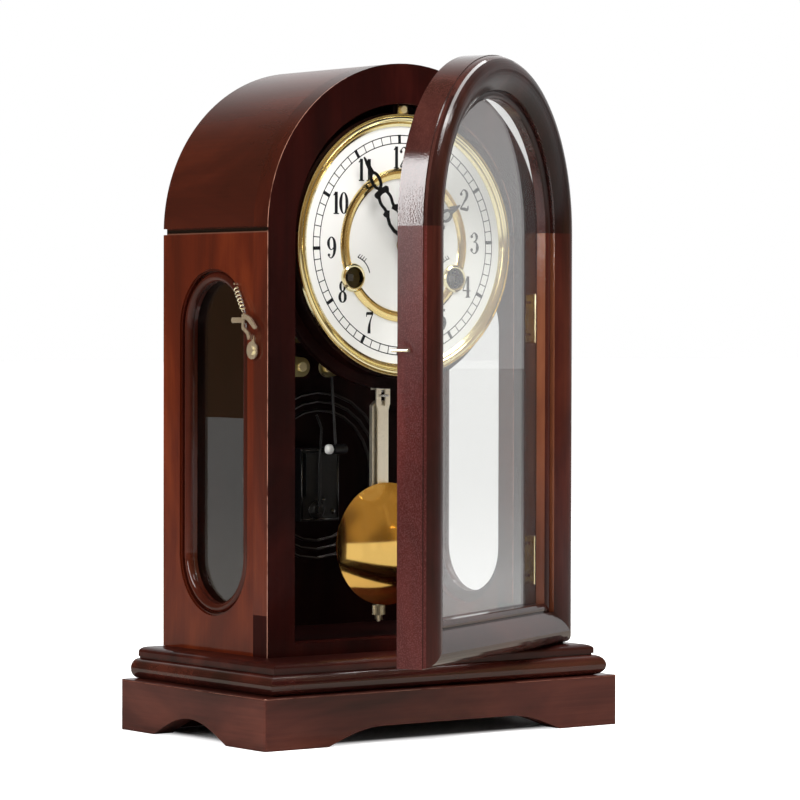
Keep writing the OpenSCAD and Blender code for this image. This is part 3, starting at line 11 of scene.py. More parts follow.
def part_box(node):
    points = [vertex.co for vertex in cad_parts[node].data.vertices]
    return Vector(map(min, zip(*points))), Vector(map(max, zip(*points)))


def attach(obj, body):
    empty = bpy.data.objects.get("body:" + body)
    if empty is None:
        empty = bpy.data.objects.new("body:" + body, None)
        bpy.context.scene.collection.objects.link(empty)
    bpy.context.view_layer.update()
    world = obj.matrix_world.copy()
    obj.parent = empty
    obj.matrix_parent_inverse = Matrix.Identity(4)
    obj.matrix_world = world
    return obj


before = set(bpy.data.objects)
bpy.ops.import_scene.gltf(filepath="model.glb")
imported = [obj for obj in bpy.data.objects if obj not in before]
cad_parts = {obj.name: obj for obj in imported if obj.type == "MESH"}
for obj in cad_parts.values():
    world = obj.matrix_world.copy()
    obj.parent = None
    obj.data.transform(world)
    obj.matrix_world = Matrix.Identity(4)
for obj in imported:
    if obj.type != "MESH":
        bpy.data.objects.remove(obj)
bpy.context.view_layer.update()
MM = 0.001

# Camera, worked out from the photograph's vanishing lines and the clock's own sizes
CAMERA_AT = Vector((-1365.29, -1853.77, 247.53)) * MM
CAMERA_YAW = math.radians(36.813)
CAMERA_DOWN = math.radians(1.124)
CAMERA_ROLL = math.radians(0.127)
FOCAL_PX = 3722.35
IMAGE_PX = 800


def make_camera():
    data = bpy.data.cameras.new("camera")
    data.sensor_fit = "HORIZONTAL"
    data.sensor_width = 36
    data.lens = FOCAL_PX / IMAGE_PX * data.sensor_width
    data.clip_start = 0.05
    data.clip_end = 60
    cam = bpy.data.objects.new("camera", data)
    bpy.context.scene.collection.objects.link(cam)
    forward = Vector((
        math.sin(CAMERA_YAW) * math.cos(CAMERA_DOWN),
        math.cos(CAMERA_YAW) * math.cos(CAMERA_DOWN),
        -math.sin(CAMERA_DOWN),
    ))
    cam.rotation_mode = "QUATERNION"
    cam.rotation_quaternion = forward.to_track_quat("-Z", "Y") @ Quaternion((0, 0, 1), CAMERA_ROLL)
    cam.location = CAMERA_AT
    bpy.context.scene.camera = cam


# Shader helpers
MIX_FIRST = 6  # colour sockets of a Mix node
MIX_SECOND = 7
MIX_RESULT = 2
LEAST_STEP = 1e-6


def new_material(name):
    mat = bpy.data.materials.new(name)
    mat.use_nodes = True
    return mat, mat.node_tree, mat.node_tree.nodes["Principled BSDF"]


def node(tree, kind, **values):
    """A new node; each value is one of its settings or the number on one of its inputs."""
    made = tree.nodes.new(kind)
    for key, value in values.items():
        if hasattr(made, key):
            setattr(made, key, value)
        else:
            made.inputs[key].default_value = value
    return made


def axes(tree, vector):
    """The X, Y and Z outputs of a vector."""
    made = node(tree, "ShaderNodeSeparateXYZ")
    tree.links.new(vector, made.inputs[0])
    return made.outputs


def math_node(tree, operation, first, second=0.0):
    """A Math node whose inputs are outputs of other nodes or numbers."""
    made = node(tree, "ShaderNodeMath", operation=operation)
    for socket, value in zip(made.inputs, (first, second)):
        if isinstance(value, (int, float)):
            socket.default_value = value
        else:
            tree.links.new(value, socket)
    return made.outputs[0]


def step(tree, value, level, soft=0.0, falling=False):
    """From 0 below the level to 1 above it over a soft edge, or from 1 to 0 where falling."""
    made = node(tree, "ShaderNodeMapRange", interpolation_type="SMOOTHSTEP")
    made.inputs["From Min"].default_value = level - soft
    made.inputs["From Max"].default_value = level + soft + LEAST_STEP
    if falling:
        made.inputs["To Min"].default_value = 1.0
        made.inputs["To Max"].default_value = 0.0
    tree.links.new(value, made.inputs["Value"])
    return made.outputs["Result"]


def between(tree, value, low, high, soft=0.0):
    """1 where value lies from low to high, else 0."""
    rise = step(tree, value, low, soft)
    fall = step(tree, value, high, soft, falling=True)
    return math_node(tree, "MULTIPLY", rise, fall)


def mix_colour(tree, fac, first, second):
    made = node(tree, "ShaderNodeMix", data_type="RGBA")
    tree.links.new(fac, made.inputs["Factor"])
    for socket, value in ((MIX_FIRST, first), (MIX_SECOND, second)):
        if isinstance(value, tuple):
            made.inputs[socket].default_value = (*value, 1)
        else:
            tree.links.new(value, made.inputs[socket])
    return made.outputs[MIX_RESULT]


def mix_shader(tree, fac, first, second):
    made = node(tree, "ShaderNodeMixShader")
    if isinstance(fac, float):
        made.inputs["Fac"].default_value = fac
    else:
        tree.links.new(fac, made.inputs["Fac"])
    tree.links.new(first, made.inputs[1])
    tree.links.new(second, made.inputs[2])
    return made.outputs[0]


def scaled_noise(tree, coords, scale, place=(0, 0, 0), **values):
    """Noise stretched by a mapping of the object coordinates."""
    mapping = node(tree, "ShaderNodeMapping", Scale=scale, Location=place)
    tree.links.new(coords.outputs["Object"], mapping.inputs["Vector"])
    noise = node(tree, "ShaderNodeTexNoise", **values)
    tree.links.new(mapping.outputs["Vector"], noise.inputs["Vector"])
    return noise.outputs["Fac"]


def bump_on(tree, shader, height, strength, distance, coat=False):
    made = node(tree, "ShaderNodeBump", Strength=strength, Distance=distance)
    tree.links.new(height, made.inputs["Height"])
    tree.links.new(made.outputs["Normal"], shader.inputs["Normal"])
    if coat:
        tree.links.new(made.outputs["Normal"], shader.inputs["Coat Normal"])


# Lacquered wood. Noise scales are per metre, longer along the grain
CLOUD = {"x": (7, 24, 24), "y": (24, 7, 24), "z": (24, 24, 7)}
STREAK = {"x": (12, 520, 520), "y": (520, 12, 520), "z": (520, 520, 12)}
PATCHES = (90, 90, 90)
STREAK_SHARE = 0.16
STAIN_STOPS = (0.40, 0.58, 0.78)
PEEL_DEPTH = 0.4 * MM

# Level and soft edge at which a noise becomes the pale edge patches, wear and partly a painted highlight, and
# the pale specks, which are painted glints
WEAR_AND_SHEEN_PATCHES = (0.42, 0.12)
GLINT_SPECKS = (0.56, 0.04)

# Parts of the unit normal that tell a front, a side and a top face apart
FRONT_FACE = 0.6
SIDE_FACE = 0.5
TOP_FACE = 0.9

# Pale line, rubbed and partly a painted highlight, and dark groove of a joint, as heights from it
SEAM_WEAR_AND_SHEEN = (-1.9 * MM, -1.1 * MM)
SEAM_GROOVE = (-1.1 * MM, 1.0 * MM)
SEAM_SOFT = 0.3 * MM
WEAR_AND_SHEEN_SOFT = 0.2 * MM

# Colour of the pale specks: painted glints of the peeled lacquer
GLINT_SPECK = (0.16, 0.05, 0.05)
# Pale colour of the arris bands: wear and partly a painted highlight
WEAR_AND_SHEEN = (0.36, 0.17, 0.12)
# Pale line under a joint: rubbed and partly a painted highlight
SEAM_WEAR_AND_SHEEN_TONE = (0.16, 0.07, 0.045)
JOINT_DARK = (0.004, 0.002, 0.0015)

# How the faces that don't look forwards differ, as painted light: palette is their lighter copy of the wood,
# for the light they catch, while the forward faces keep a darker palette as painted shade; coat is their coat
# weight, turned the least X of the normal of a face that does look forwards, sill the height below which
# every face does, so that shade is painted low down, crown the palette above the seam, and the last field the
# share of pale specks, which are painted glints
LitFlank = namedtuple("LitFlank", "palette coat turned sill crown speckle", defaults=(None, None, None, None, 0.0))


def stain(tree, shade, palette):
    """The three colours of a palette, dark to light, by the shade of the grain."""
    colours = node(tree, "ShaderNodeValToRGB")
    elements = colours.color_ramp.elements
    elements.new(0.5)
    for element, stop, colour in zip(elements, STAIN_STOPS, palette):
        element.position = stop
        element.color = (*colour, 1)
    tree.links.new(shade, colours.inputs["Fac"])
    return colours.outputs["Color"]


def sideways_faces(tree, place, normal, flank):
    """1 on the faces that take the flank's looks, its lighter palette of painted light."""
    if flank.turned is None:
        facing = math_node(tree, "ABSOLUTE", normal["Y"])
        forwards = math_node(tree, "GREATER_THAN", facing, FRONT_FACE)
    else:
        forwards = math_node(tree, "GREATER_THAN", normal["X"], flank.turned)
    if flank.sill:
        low = math_node(tree, "LESS_THAN", place["Z"], flank.sill)
        forwards = math_node(tree, "MAXIMUM", forwards, low)
    return math_node(tree, "SUBTRACT", 1.0, forwards)


# The flank's lighter palette, painted light, with the crown palette above the seam
def flank_stain(tree, shade, place, flank, seam):
    colour = stain(tree, shade, flank.palette)
    if flank.crown:
        above = math_node(tree, "GREATER_THAN", place["Z"], seam)
        colour = mix_colour(tree, above, colour, stain(tree, shade, flank.crown))
    return colour


def rub_edge(tree, coords, place, normal, band, colour):
    """Stain painted pale in patches along an edge, as wear and partly a painted highlight on the arris; band
    is its axis, start and end.
    """
    axis, low, high = band
    beside = math_node(tree, "LESS_THAN", math_node(tree, "ABSOLUTE", normal[axis]), SIDE_FACE)
    if axis == "Y":
        not_top = math_node(tree, "LESS_THAN", normal["Z"], TOP_FACE)
        beside = math_node(tree, "MULTIPLY", beside, not_top)
    edge = math_node(tree, "MULTIPLY", beside, between(tree, place[axis], low, high, WEAR_AND_SHEEN_SOFT))
    patchy = scaled_noise(tree, coords, PATCHES, Scale=1.0, Detail=3.0)
    wear_and_sheen_mask = math_node(tree, "MULTIPLY", edge, step(tree, patchy, *WEAR_AND_SHEEN_PATCHES))
    return mix_colour(tree, wear_and_sheen_mask, colour, WEAR_AND_SHEEN)


def draw_seam(tree, place, seam, sideways, colour):
    """A pale line, partly rubbed and partly a painted highlight, and a dark groove at a joint, only on the
    flank where there is one.
    """
    for (low, high), tone in ((SEAM_WEAR_AND_SHEEN, SEAM_WEAR_AND_SHEEN_TONE), (SEAM_GROOVE, JOINT_DARK)):
        line = between(tree, place["Z"], seam + low, seam + high, SEAM_SOFT)
        if sideways:
            line = math_node(tree, "MULTIPLY", line, sideways)
        colour = mix_colour(tree, line, colour, tone)
    return colour


def lacquer(name, palette, grain="z", coat=0.4, gloss=0.07, peel=0.05, pore=420, seed=0.0, specular=0.03,
            flank=None, wear_and_sheen=None, seam=None):
    """Lacquer over stained wood: soft clouds with faint streaks along the grain.

    The pale edge argument is the band of an edge painted pale in patches, as wear and partly a painted
    highlight, and seam the height of a joint.
    """
    mat, tree, shader = new_material(name)
    coords = node(tree, "ShaderNodeTexCoord")
    place = axes(tree, coords.outputs["Object"])
    normal = axes(tree, coords.outputs["Normal"])
    cloud = scaled_noise(tree, coords, CLOUD[grain], (seed, seed * 0.7, seed * 0.3),
                         Scale=1.0, Detail=4.0, Roughness=0.55, Distortion=0.6)
    streak = scaled_noise(tree, coords, STREAK[grain], (seed, 0, seed), Scale=1.0, Detail=2.0, Roughness=0.6)
    shade = math_node(tree, "ADD", cloud, math_node(tree, "MULTIPLY", streak, STREAK_SHARE))
    skin = scaled_noise(tree, coords, (pore, pore, pore), Scale=1.0, Detail=1.0)

    colour = stain(tree, shade, palette)
    sideways = None
    # Faces that don't look forwards take the flank's lighter palette: painted light
    if flank:
        sideways = sideways_faces(tree, place, normal, flank)
        colour = mix_colour(tree, sideways, colour, flank_stain(tree, shade, place, flank, seam))
    # Pale patches along an arris: wear and partly a painted highlight
    if wear_and_sheen:
        colour = rub_edge(tree, coords, place, normal, wear_and_sheen, colour)
    # Pale line under the joint, rubbed and partly a painted highlight, over its dark groove
    if seam:
        colour = draw_seam(tree, place, seam, sideways, colour)
    # Pale specks on the flank: painted glints of the peeled lacquer
    if flank and flank.speckle:
        glints = math_node(tree, "MULTIPLY", step(tree, skin, *GLINT_SPECKS), flank.speckle)
        colour = mix_colour(tree, math_node(tree, "MULTIPLY", glints, sideways), colour, GLINT_SPECK)
    tree.links.new(colour, shader.inputs["Base Color"])

    shader.inputs["Roughness"].default_value = 0.45
    shader.inputs["Specular IOR Level"].default_value = specular
    shader.inputs["Coat Weight"].default_value = coat
    shader.inputs["Coat Roughness"].default_value = gloss
    if flank and flank.coat:
        more = math_node(tree, "MULTIPLY", sideways, flank.coat - coat)
        tree.links.new(math_node(tree, "ADD", coat, more), shader.inputs["Coat Weight"])
    bump_on(tree, shader, skin, peel, PEEL_DEPTH, coat=True)
    return mat


BRUSH_STREAKS = (0.5, 0.08)
BRUSH_DULL = 0.6


def metal(name, colour, roughness, variation=0.06, brushed=None, metallic=1.0):
    """Metal of uneven roughness; brushed is the noise scale of its dull streaks."""
    mat, tree, shader = new_material(name)
    shader.inputs["Metallic"].default_value = metallic
    shader.inputs["Base Color"].default_value = (*colour, 1)
    coords = node(tree, "ShaderNodeTexCoord")
    fac = scaled_noise(tree, coords, brushed or (1, 1, 1), Scale=120.0, Detail=4.0, Roughness=0.6)
    if brushed:
        dull = tuple(BRUSH_DULL * value for value in colour)
        light = step(tree, fac, *BRUSH_STREAKS)
        tree.links.new(mix_colour(tree, light, dull, colour), shader.inputs["Base Color"])
    spread = node(tree, "ShaderNodeMapRange")
    spread.inputs["To Min"].default_value = max(0.02, roughness - variation)
    spread.inputs["To Max"].default_value = roughness + variation
    tree.links.new(fac, spread.inputs["Value"])
    tree.links.new(spread.outputs["Result"], shader.inputs["Roughness"])
    return mat


def plain(name, colour, roughness, specular=0.5, coat=0.0):
    mat, tree, shader = new_material(name)
    shader.inputs["Base Color"].default_value = (*colour, 1)
    shader.inputs["Roughness"].default_value = roughness
    shader.inputs["Specular IOR Level"].default_value = specular
    shader.inputs["Coat Weight"].default_value = coat
    shader.inputs["Coat Roughness"].default_value = 0.08
    return mat


def tipped(name, colour, tip, box):
    """Paint with a pale tip inside a box, given by the (x, z) of its low and high corners."""
    mat, tree, shader = new_material(name)
    shader.inputs["Roughness"].default_value = 0.35
    place = axes(tree, node(tree, "ShaderNodeTexCoord").outputs["Object"])
    (left, bottom), (right, top) = box
    inside = math_node(tree, "MULTIPLY", between(tree, place["X"], left, right),
                       between(tree, place["Z"], bottom, top))
    tree.links.new(mix_colour(tree, inside, colour, tip), shader.inputs["Base Color"])
    return mat


def rough_cast(name, colour):
    mat, tree, shader = new_material(name)
    shader.inputs["Base Color"].default_value = (*colour, 1)
    shader.inputs["Roughness"].default_value = 0.3
    shader.inputs["Specular IOR Level"].default_value = 0.25
    coords = node(tree, "ShaderNodeTexCoord")
    grit = scaled_noise(tree, coords, (1, 1, 1), Scale=500.0, Detail=6.0, Roughness=0.7)
    bump_on(tree, shader, grit, 0.6, 0.6 * MM)
    return mat


def glass(name, tint, haze=0.0, index=1.45):
    """Clear pane that lets lamps through; haze adds a faint pale film."""
    mat, tree, shader = new_material(name)
    shader.inputs["Base Color"].default_value = (*tint, 1)
    shader.inputs["Roughness"].default_value = 0.0
    shader.inputs["IOR"].default_value = index
    shader.inputs["Transmission Weight"].default_value = 1.0
    surface = shader.outputs["BSDF"]
    if haze:
        film = node(tree, "ShaderNodeBsdfDiffuse", Color=(0.8, 0.8, 0.82, 1))
        surface = mix_shader(tree, haze, surface, film.outputs[0])
    clear = node(tree, "ShaderNodeBsdfTransparent", Color=(*tint, 1))
    rays = node(tree, "ShaderNodeLightPath").outputs
    unseen = math_node(tree, "MAXIMUM", rays["Is Shadow Ray"], rays["Is Diffuse Ray"])
    pane = mix_shader(tree, unseen, surface, clear.outputs[0])
    tree.links.new(pane, tree.nodes["Material Output"].inputs["Surface"])
    return mat


# Wood palettes: three colours, dark to light, as linear values
RED = ((0.042, 0.0064, 0.0026), (0.074, 0.0100, 0.0032), (0.122, 0.020, 0.0050))
ROOF = ((0.023, 0.0036, 0.0018), (0.036, 0.0050, 0.0024), (0.060, 0.009, 0.0036))
PLINTH = ((0.022, 0.006, 0.0045), (0.052, 0.012, 0.0085), (0.095, 0.024, 0.015))
DEEP = ((0.012, 0.0028, 0.0022), (0.026, 0.0046, 0.0034), (0.058, 0.011, 0.0065))
ARCH = ((0.008, 0.0025, 0.0022), (0.018, 0.0040, 0.0032), (0.036, 0.009, 0.0065))
# The next three are lighter copies for the side faces of the door's arch, latch stile and hinge stile:
# painted light. SHADY is a darker copy for the frame's front: painted shade
LIT_ARCH_EDGE = ((0.018, 0.005, 0.004), (0.038, 0.010, 0.008), (0.070, 0.020, 0.015))
LIT_EDGE = ((0.032, 0.0042, 0.0034), (0.052, 0.0070, 0.0055), (0.085, 0.013, 0.010))
LIT_WARM = ((0.08, 0.022, 0.010), (0.13, 0.038, 0.017), (0.19, 0.062, 0.028))
SHADY = ((0.010, 0.0022, 0.0018), (0.020, 0.0032, 0.0024), (0.036, 0.0056, 0.0038))
INNER = ((0.0035, 0.0012, 0.0012), (0.007, 0.0018, 0.0016), (0.013, 0.0028, 0.0022))

# Places on the frame that the finishes follow
FRAME_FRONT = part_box("front_frame")[0][1]
PLINTH_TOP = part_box("plinth_front_board")[1][2]
DECK_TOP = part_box("deck_board")[1][2]
PANEL_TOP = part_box("left_side_panel")[1][2]
HAMMER_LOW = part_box("hammer")[0][2]
FRAME_SILL = DECK_TOP + 25 * MM
HAMMER_TIP = ((-1 * MM, HAMMER_LOW - 1 * MM), (5.8 * MM, HAMMER_LOW + 6.3 * MM))
# Arris bands painted pale in patches: wear and partly a painted highlight where the rounded edge catches
# light
ARRIS = 0.7 * MM
PLINTH_ARRIS = ("Z", PLINTH_TOP - ARRIS, PLINTH_TOP + ARRIS)
DECK_ARRIS = ("Z", DECK_TOP - ARRIS, DECK_TOP + ARRIS)
FRAME_ARRIS = ("Y", FRAME_FRONT - ARRIS, FRAME_FRONT + ARRIS)

MAHOGANY_PANEL = lacquer("mahogany_panel", RED, coat=0.5, seed=3.1, seam=PANEL_TOP)
MAHOGANY_ROOF = lacquer("mahogany_roof", ROOF, grain="y", coat=0.75, gloss=0.2, seed=8.3, seam=PANEL_TOP)
MAHOGANY_PLINTH_X = lacquer("mahogany_plinth_along", PLINTH, grain="x", peel=0.08, seed=1.7,
                            wear_and_sheen=PLINTH_ARRIS)
MAHOGANY_PLINTH_Y = lacquer("mahogany_plinth_across", PLINTH, grain="y", peel=0.08, seed=5.2,
                            wear_and_sheen=PLINTH_ARRIS)
MAHOGANY_TORUS = lacquer("mahogany_torus", DEEP, grain="x", coat=1.0, gloss=0.03, seed=2.9)
MAHOGANY_DECK = lacquer("mahogany_deck", DEEP, grain="x", coat=0.35, peel=0.08, seed=7.7, wear_and_sheen=DECK_ARRIS)
MAHOGANY_BEAD = lacquer("mahogany_bead", ROOF, coat=0.7, gloss=0.06, seed=2.4)
# Door pieces: their side faces take lighter palettes as painted light, and the pale specks of the latch stile
# and the arch are painted glints
MAHOGANY_STILE = lacquer("mahogany_stile", DEEP, coat=0.45, gloss=0.09, peel=0.13, pore=1700, seed=4.6,
                         flank=LitFlank(LIT_EDGE, coat=0.4, speckle=0.3))
MAHOGANY_DOOR = lacquer("mahogany_door", DEEP, peel=0.06, seed=6.2, flank=LitFlank(LIT_WARM, turned=-0.8))
MAHOGANY_ARCH = lacquer("mahogany_arch", ARCH, coat=0.45, peel=0.12, pore=1100, seed=4.1,
                        flank=LitFlank(LIT_ARCH_EDGE, coat=1.0, speckle=0.1))
MAHOGANY_RAIL = lacquer("mahogany_rail", ARCH, grain="x", coat=0.9, peel=0.06, seed=9.1)
# Painted shade: the frame's front faces and every face below the sill take the dark SHADY palette, the other
# faces the panel's red and above the seam the roof's; its front arris is painted pale, as wear and partly a
# painted highlight
MAHOGANY_FRAME = lacquer("mahogany_frame", SHADY, coat=0.06, gloss=0.18, seed=6.6, specular=0.02,
                         flank=LitFlank(RED, coat=0.7, sill=FRAME_SILL, crown=ROOF),
                         wear_and_sheen=FRAME_ARRIS, seam=PANEL_TOP)
INNER_BOARD = lacquer("inner_board", INNER, coat=0.05, gloss=0.25, peel=0.02, seed=9.9, specular=0.02)

BRASS = metal("polished_brass", (0.90, 0.80, 0.48), 0.13, 0.04)
SCREW_BRASS = metal("screw_brass", (0.82, 0.68, 0.38), 0.42, 0.1, metallic=0.7)
RING_BRASS = metal("ring_brass", (0.86, 0.68, 0.31), 0.14, 0.04)
BOB_BRASS = metal("bob_brass", (0.82, 0.52, 0.15), 0.08, 0.03)
LATCH_BRASS = metal("pale_brass", (0.95, 0.89, 0.68), 0.24, 0.08, metallic=0.92)
PLATE_BRASS = metal("plate_brass", (0.62, 0.52, 0.26), 0.30, 0.12)
NUT_BRASS = metal("nut_brass", (0.66, 0.60, 0.44), 0.3, 0.08)
STRIP_BRASS = metal("strip_brass", (1.0, 0.93, 0.78), 0.34, 0.25, brushed=(420, 420, 4))
STEEL = metal("plain_steel", (0.56, 0.56, 0.55), 0.26, 0.08)
DARK_STEEL = metal("dark_steel", (0.09, 0.085, 0.08), 0.34, 0.08)
SPRING_STEEL = metal("dark_spring_steel", (0.09, 0.10, 0.13), 0.32, 0.08)
GONG_STEEL = metal("dark_gong_steel", (0.04, 0.036, 0.035), 0.35, 0.06)

DIAL_WHITE = plain("white_dial", (0.82, 0.80, 0.77), 0.4, specular=0.2)
PRINT_BLACK = plain("dial_print", (0.006, 0.006, 0.008), 0.5, specular=0.15)
HAND_BLACK = plain("hand_black", (0.004, 0.004, 0.005), 0.3, specular=0.15)
HAMMER_BLACK = tipped("hammer_black", (0.004, 0.004, 0.005), (0.85, 0.85, 0.82), HAMMER_TIP)
CAST_BLACK = rough_cast("cast_black", (0.003, 0.0032, 0.0034))
ENAMEL = plain("gong_enamel", (0.004, 0.0042, 0.0045), 0.2, coat=0.7)
WINDOW_GLASS = glass("window_glass", (0.93, 0.93, 0.92))
DOOR_GLASS = glass("door_glass", (0.93, 0.94, 0.93), haze=0.015, index=1.6)

# Finish of each piece; the wheels and what else isn't named here is plate brass
FINISH = {
    "plinth_front_board": MAHOGANY_PLINTH_X,
    "plinth_rear_boards": MAHOGANY_PLINTH_Y,
    "torus_moulding": MAHOGANY_TORUS,
    "deck_board": MAHOGANY_DECK,
    "floor_board": INNER_BOARD,
    "left_side_panel": MAHOGANY_PANEL,
    "right_side_panel": MAHOGANY_PANEL,
    "arch_roof": MAHOGANY_ROOF,
    "front_frame": MAHOGANY_FRAME,
    "back_panel": INNER_BOARD,
    "wood_screws": SCREW_BRASS,
    "window_beads": MAHOGANY_BEAD,
    "window_glasses": WINDOW_GLASS,
    "latch_pivot_screw": LATCH_BRASS,
    "latch_spring": LATCH_BRASS,
    "latch_hook": LATCH_BRASS,
    "hinge_case_leaves": BRASS,
    "hinge_door_leaves": BRASS,
    "hinge_pins": BRASS,
    "dial_ring_board": INNER_BOARD,
    "dial_plate": DIAL_WHITE,
    "dial_bezel": BRASS,
    "dial_inner_ring": RING_BRASS,
    "winding_ferrules": BRASS,
    "mainsprings": SPRING_STEEL,
    "gong_block": CAST_BLACK,
    "gong_coil": GONG_STEEL,
    "door_arch_head": MAHOGANY_ARCH,
    "door_hinge_stile": MAHOGANY_DOOR,
    "door_latch_stile": MAHOGANY_STILE,
    "door_bottom_rail": MAHOGANY_RAIL,
    "door_glass": DOOR_GLASS,
    "door_glazing_bead": INNER_BOARD,
    "door_catch_pin": LATCH_BRASS,
    "suspension_spring": STEEL,
    "pendulum_rod": STRIP_BRASS,
    "pendulum_bob": BOB_BRASS,
    "rating_nut": NUT_BRASS,
    "verge_and_crutch": STEEL,
    "time_winding_arbor": DARK_STEEL,
    "strike_winding_arbor": DARK_STEEL,
    "minute_hand": HAND_BLACK,
    "hour_hand": HAND_BLACK,
    "hand_nut": BRASS,
    "hammer": HAMMER_BLACK,
}


def dress_frame():
    for name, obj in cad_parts.items():
        finish = FINISH.get(name, PLATE_BRASS)
        for slot in obj.material_slots:
            slot.material = finish
        if not obj.material_slots:
            obj.data.materials.append(finish)


# Relief of the gong block. The hub lies left of the block's middle and above its base; its rings are given by
# their radius and their depth behind the face. Screws are (x, z, radius), the low one from the lower right
# corner, the high one from the hub and the base
BLOCK_DEPTH = 16 * MM
BLOCK_HEIGHT = 46 * MM
RIM_INSET = 1.2 * MM
RIM_THICK = 0.7 * MM
CORNER_DOME = 1.0 * MM
HUB_LEFT = 3 * MM
HUB_UP = 7 * MM
HUB_WIRE = 0.45 * MM
HUB_RINGS = ((5.4 * MM, 0.2 * MM), (4.6 * MM, 1.8 * MM), (3.0 * MM, 3.0 * MM))
LOW_SCREW = (5 * MM, 6 * MM, 1.8 * MM)
HIGH_SCREW = (6 * MM, 13.5 * MM, 1.2 * MM)
DOME_FLATNESS = 0.6


def add_ring(place, radius, thick):
    bpy.ops.mesh.primitive_torus_add(location=place, rotation=(math.pi / 2, 0, 0), major_radius=radius,
                                     minor_radius=thick, major_segments=40, minor_segments=10)
    return bpy.context.object


def add_rod(start, end, thick):
    start, end = Vector(start), Vector(end)
    along = end - start
    bpy.ops.mesh.primitive_cylinder_add(vertices=12, radius=thick, depth=along.length,
                                        location=(start + end) / 2,
                                        rotation=along.to_track_quat("Z", "Y").to_euler())
    return bpy.context.object


def add_dome(place, radius):
    bpy.ops.mesh.primitive_uv_sphere_add(segments=20, ring_count=10, radius=radius, location=place)
    bpy.context.object.scale = (1, DOME_FLATNESS, 1)
    return bpy.context.object


def join_pieces(name, pieces):
    """One smooth piece out of several."""
    joined = bmesh.new()
    for piece in pieces:
        part = piece.data
        part.transform(piece.matrix_basis)
        joined.from_mesh(part)
        bpy.data.objects.remove(piece)
        bpy.data.meshes.remove(part)
    mesh = bpy.data.meshes.new(name)
    joined.to_mesh(mesh)
    joined.free()
    mesh.shade_smooth()
    obj = bpy.data.objects.new(name, mesh)
    bpy.context.scene.collection.objects.link(obj)
    return obj


def make_block_relief():
    """Rims, washers and screw heads that stand out of the enamelled gong block."""
    (left, _, base), (right, back, _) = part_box("gong_block")
    face = back - BLOCK_DEPTH
    hub_x = (left + right) / 2 - HUB_LEFT
    pieces = [add_ring((hub_x, face - depth, base + HUB_UP), radius, HUB_WIRE) for radius, depth in HUB_RINGS]
    low, high = base + RIM_INSET, base + BLOCK_HEIGHT - RIM_INSET
    corners = [(left + RIM_INSET, face, high), (right - RIM_INSET, face, high),
               (right - RIM_INSET, face, low), (left + RIM_INSET, face, low)]
    for corner, after in zip(corners, corners[1:] + corners[:1]):
        pieces.append(add_rod(corner, after, RIM_THICK))
        pieces.append(add_dome(corner, CORNER_DOME))
    pieces.append(add_dome((right - LOW_SCREW[0], face, base + LOW_SCREW[1]), LOW_SCREW[2]))
    pieces.append(add_dome((hub_x + HIGH_SCREW[0], face, base + HIGH_SCREW[1]), HIGH_SCREW[2]))

    relief = join_pieces("gong_block_relief", pieces)
    relief.data.materials.append(ENAMEL)
    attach(relief, "case")


# Dial print: flat prisms on the dial's face. Its sizes are in millimetres from the dial's centre
DIAL_LOW, DIAL_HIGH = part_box("dial_plate")
DIAL_X = (DIAL_LOW[0] + DIAL_HIGH[0]) / 2
DIAL_Z = (DIAL_LOW[2] + DIAL_HIGH[2]) / 2
DIAL_Y = DIAL_LOW[1]
PRINT_THICK = 0.04 * MM
PRINT_TURN = math.radians(2.3)

TRACK_OUT = 67.1
TRACK_IN = 62.3
TRACK_LINE = 0.6
TICK = 0.58
HOUR_TICK = 2.1
HOUR_REACH = 0.4

NUMERAL_HEIGHT = 13.4
NUMERAL_RADIUS = 53.6
DIGIT_STEP = 0.44
STROKE = 1.2
BROAD = {"2": 1.22, "3": 1.22, "0": 1.05, "9": 1.05}
DOT_STEPS = 14
OVAL_STEPS = 28
OVAL_SWELL = 1.4

# Curved mark beside each winding hole: an arc in degrees, with short slanted strokes at its upper end
HOLE_X = 37.5
HOLE_Z = -20
MARK_RADIUS = 12.8
MARK_LINE = 0.7
MARK_LEFT = (13, 74)
MARK_RIGHT = (167, 106)
SLANT_STROKES = 4
SLANT_STEP = 8
SLANT_REACH = 1.9
SLANT_WIDTHS = (0.6, 0.45)


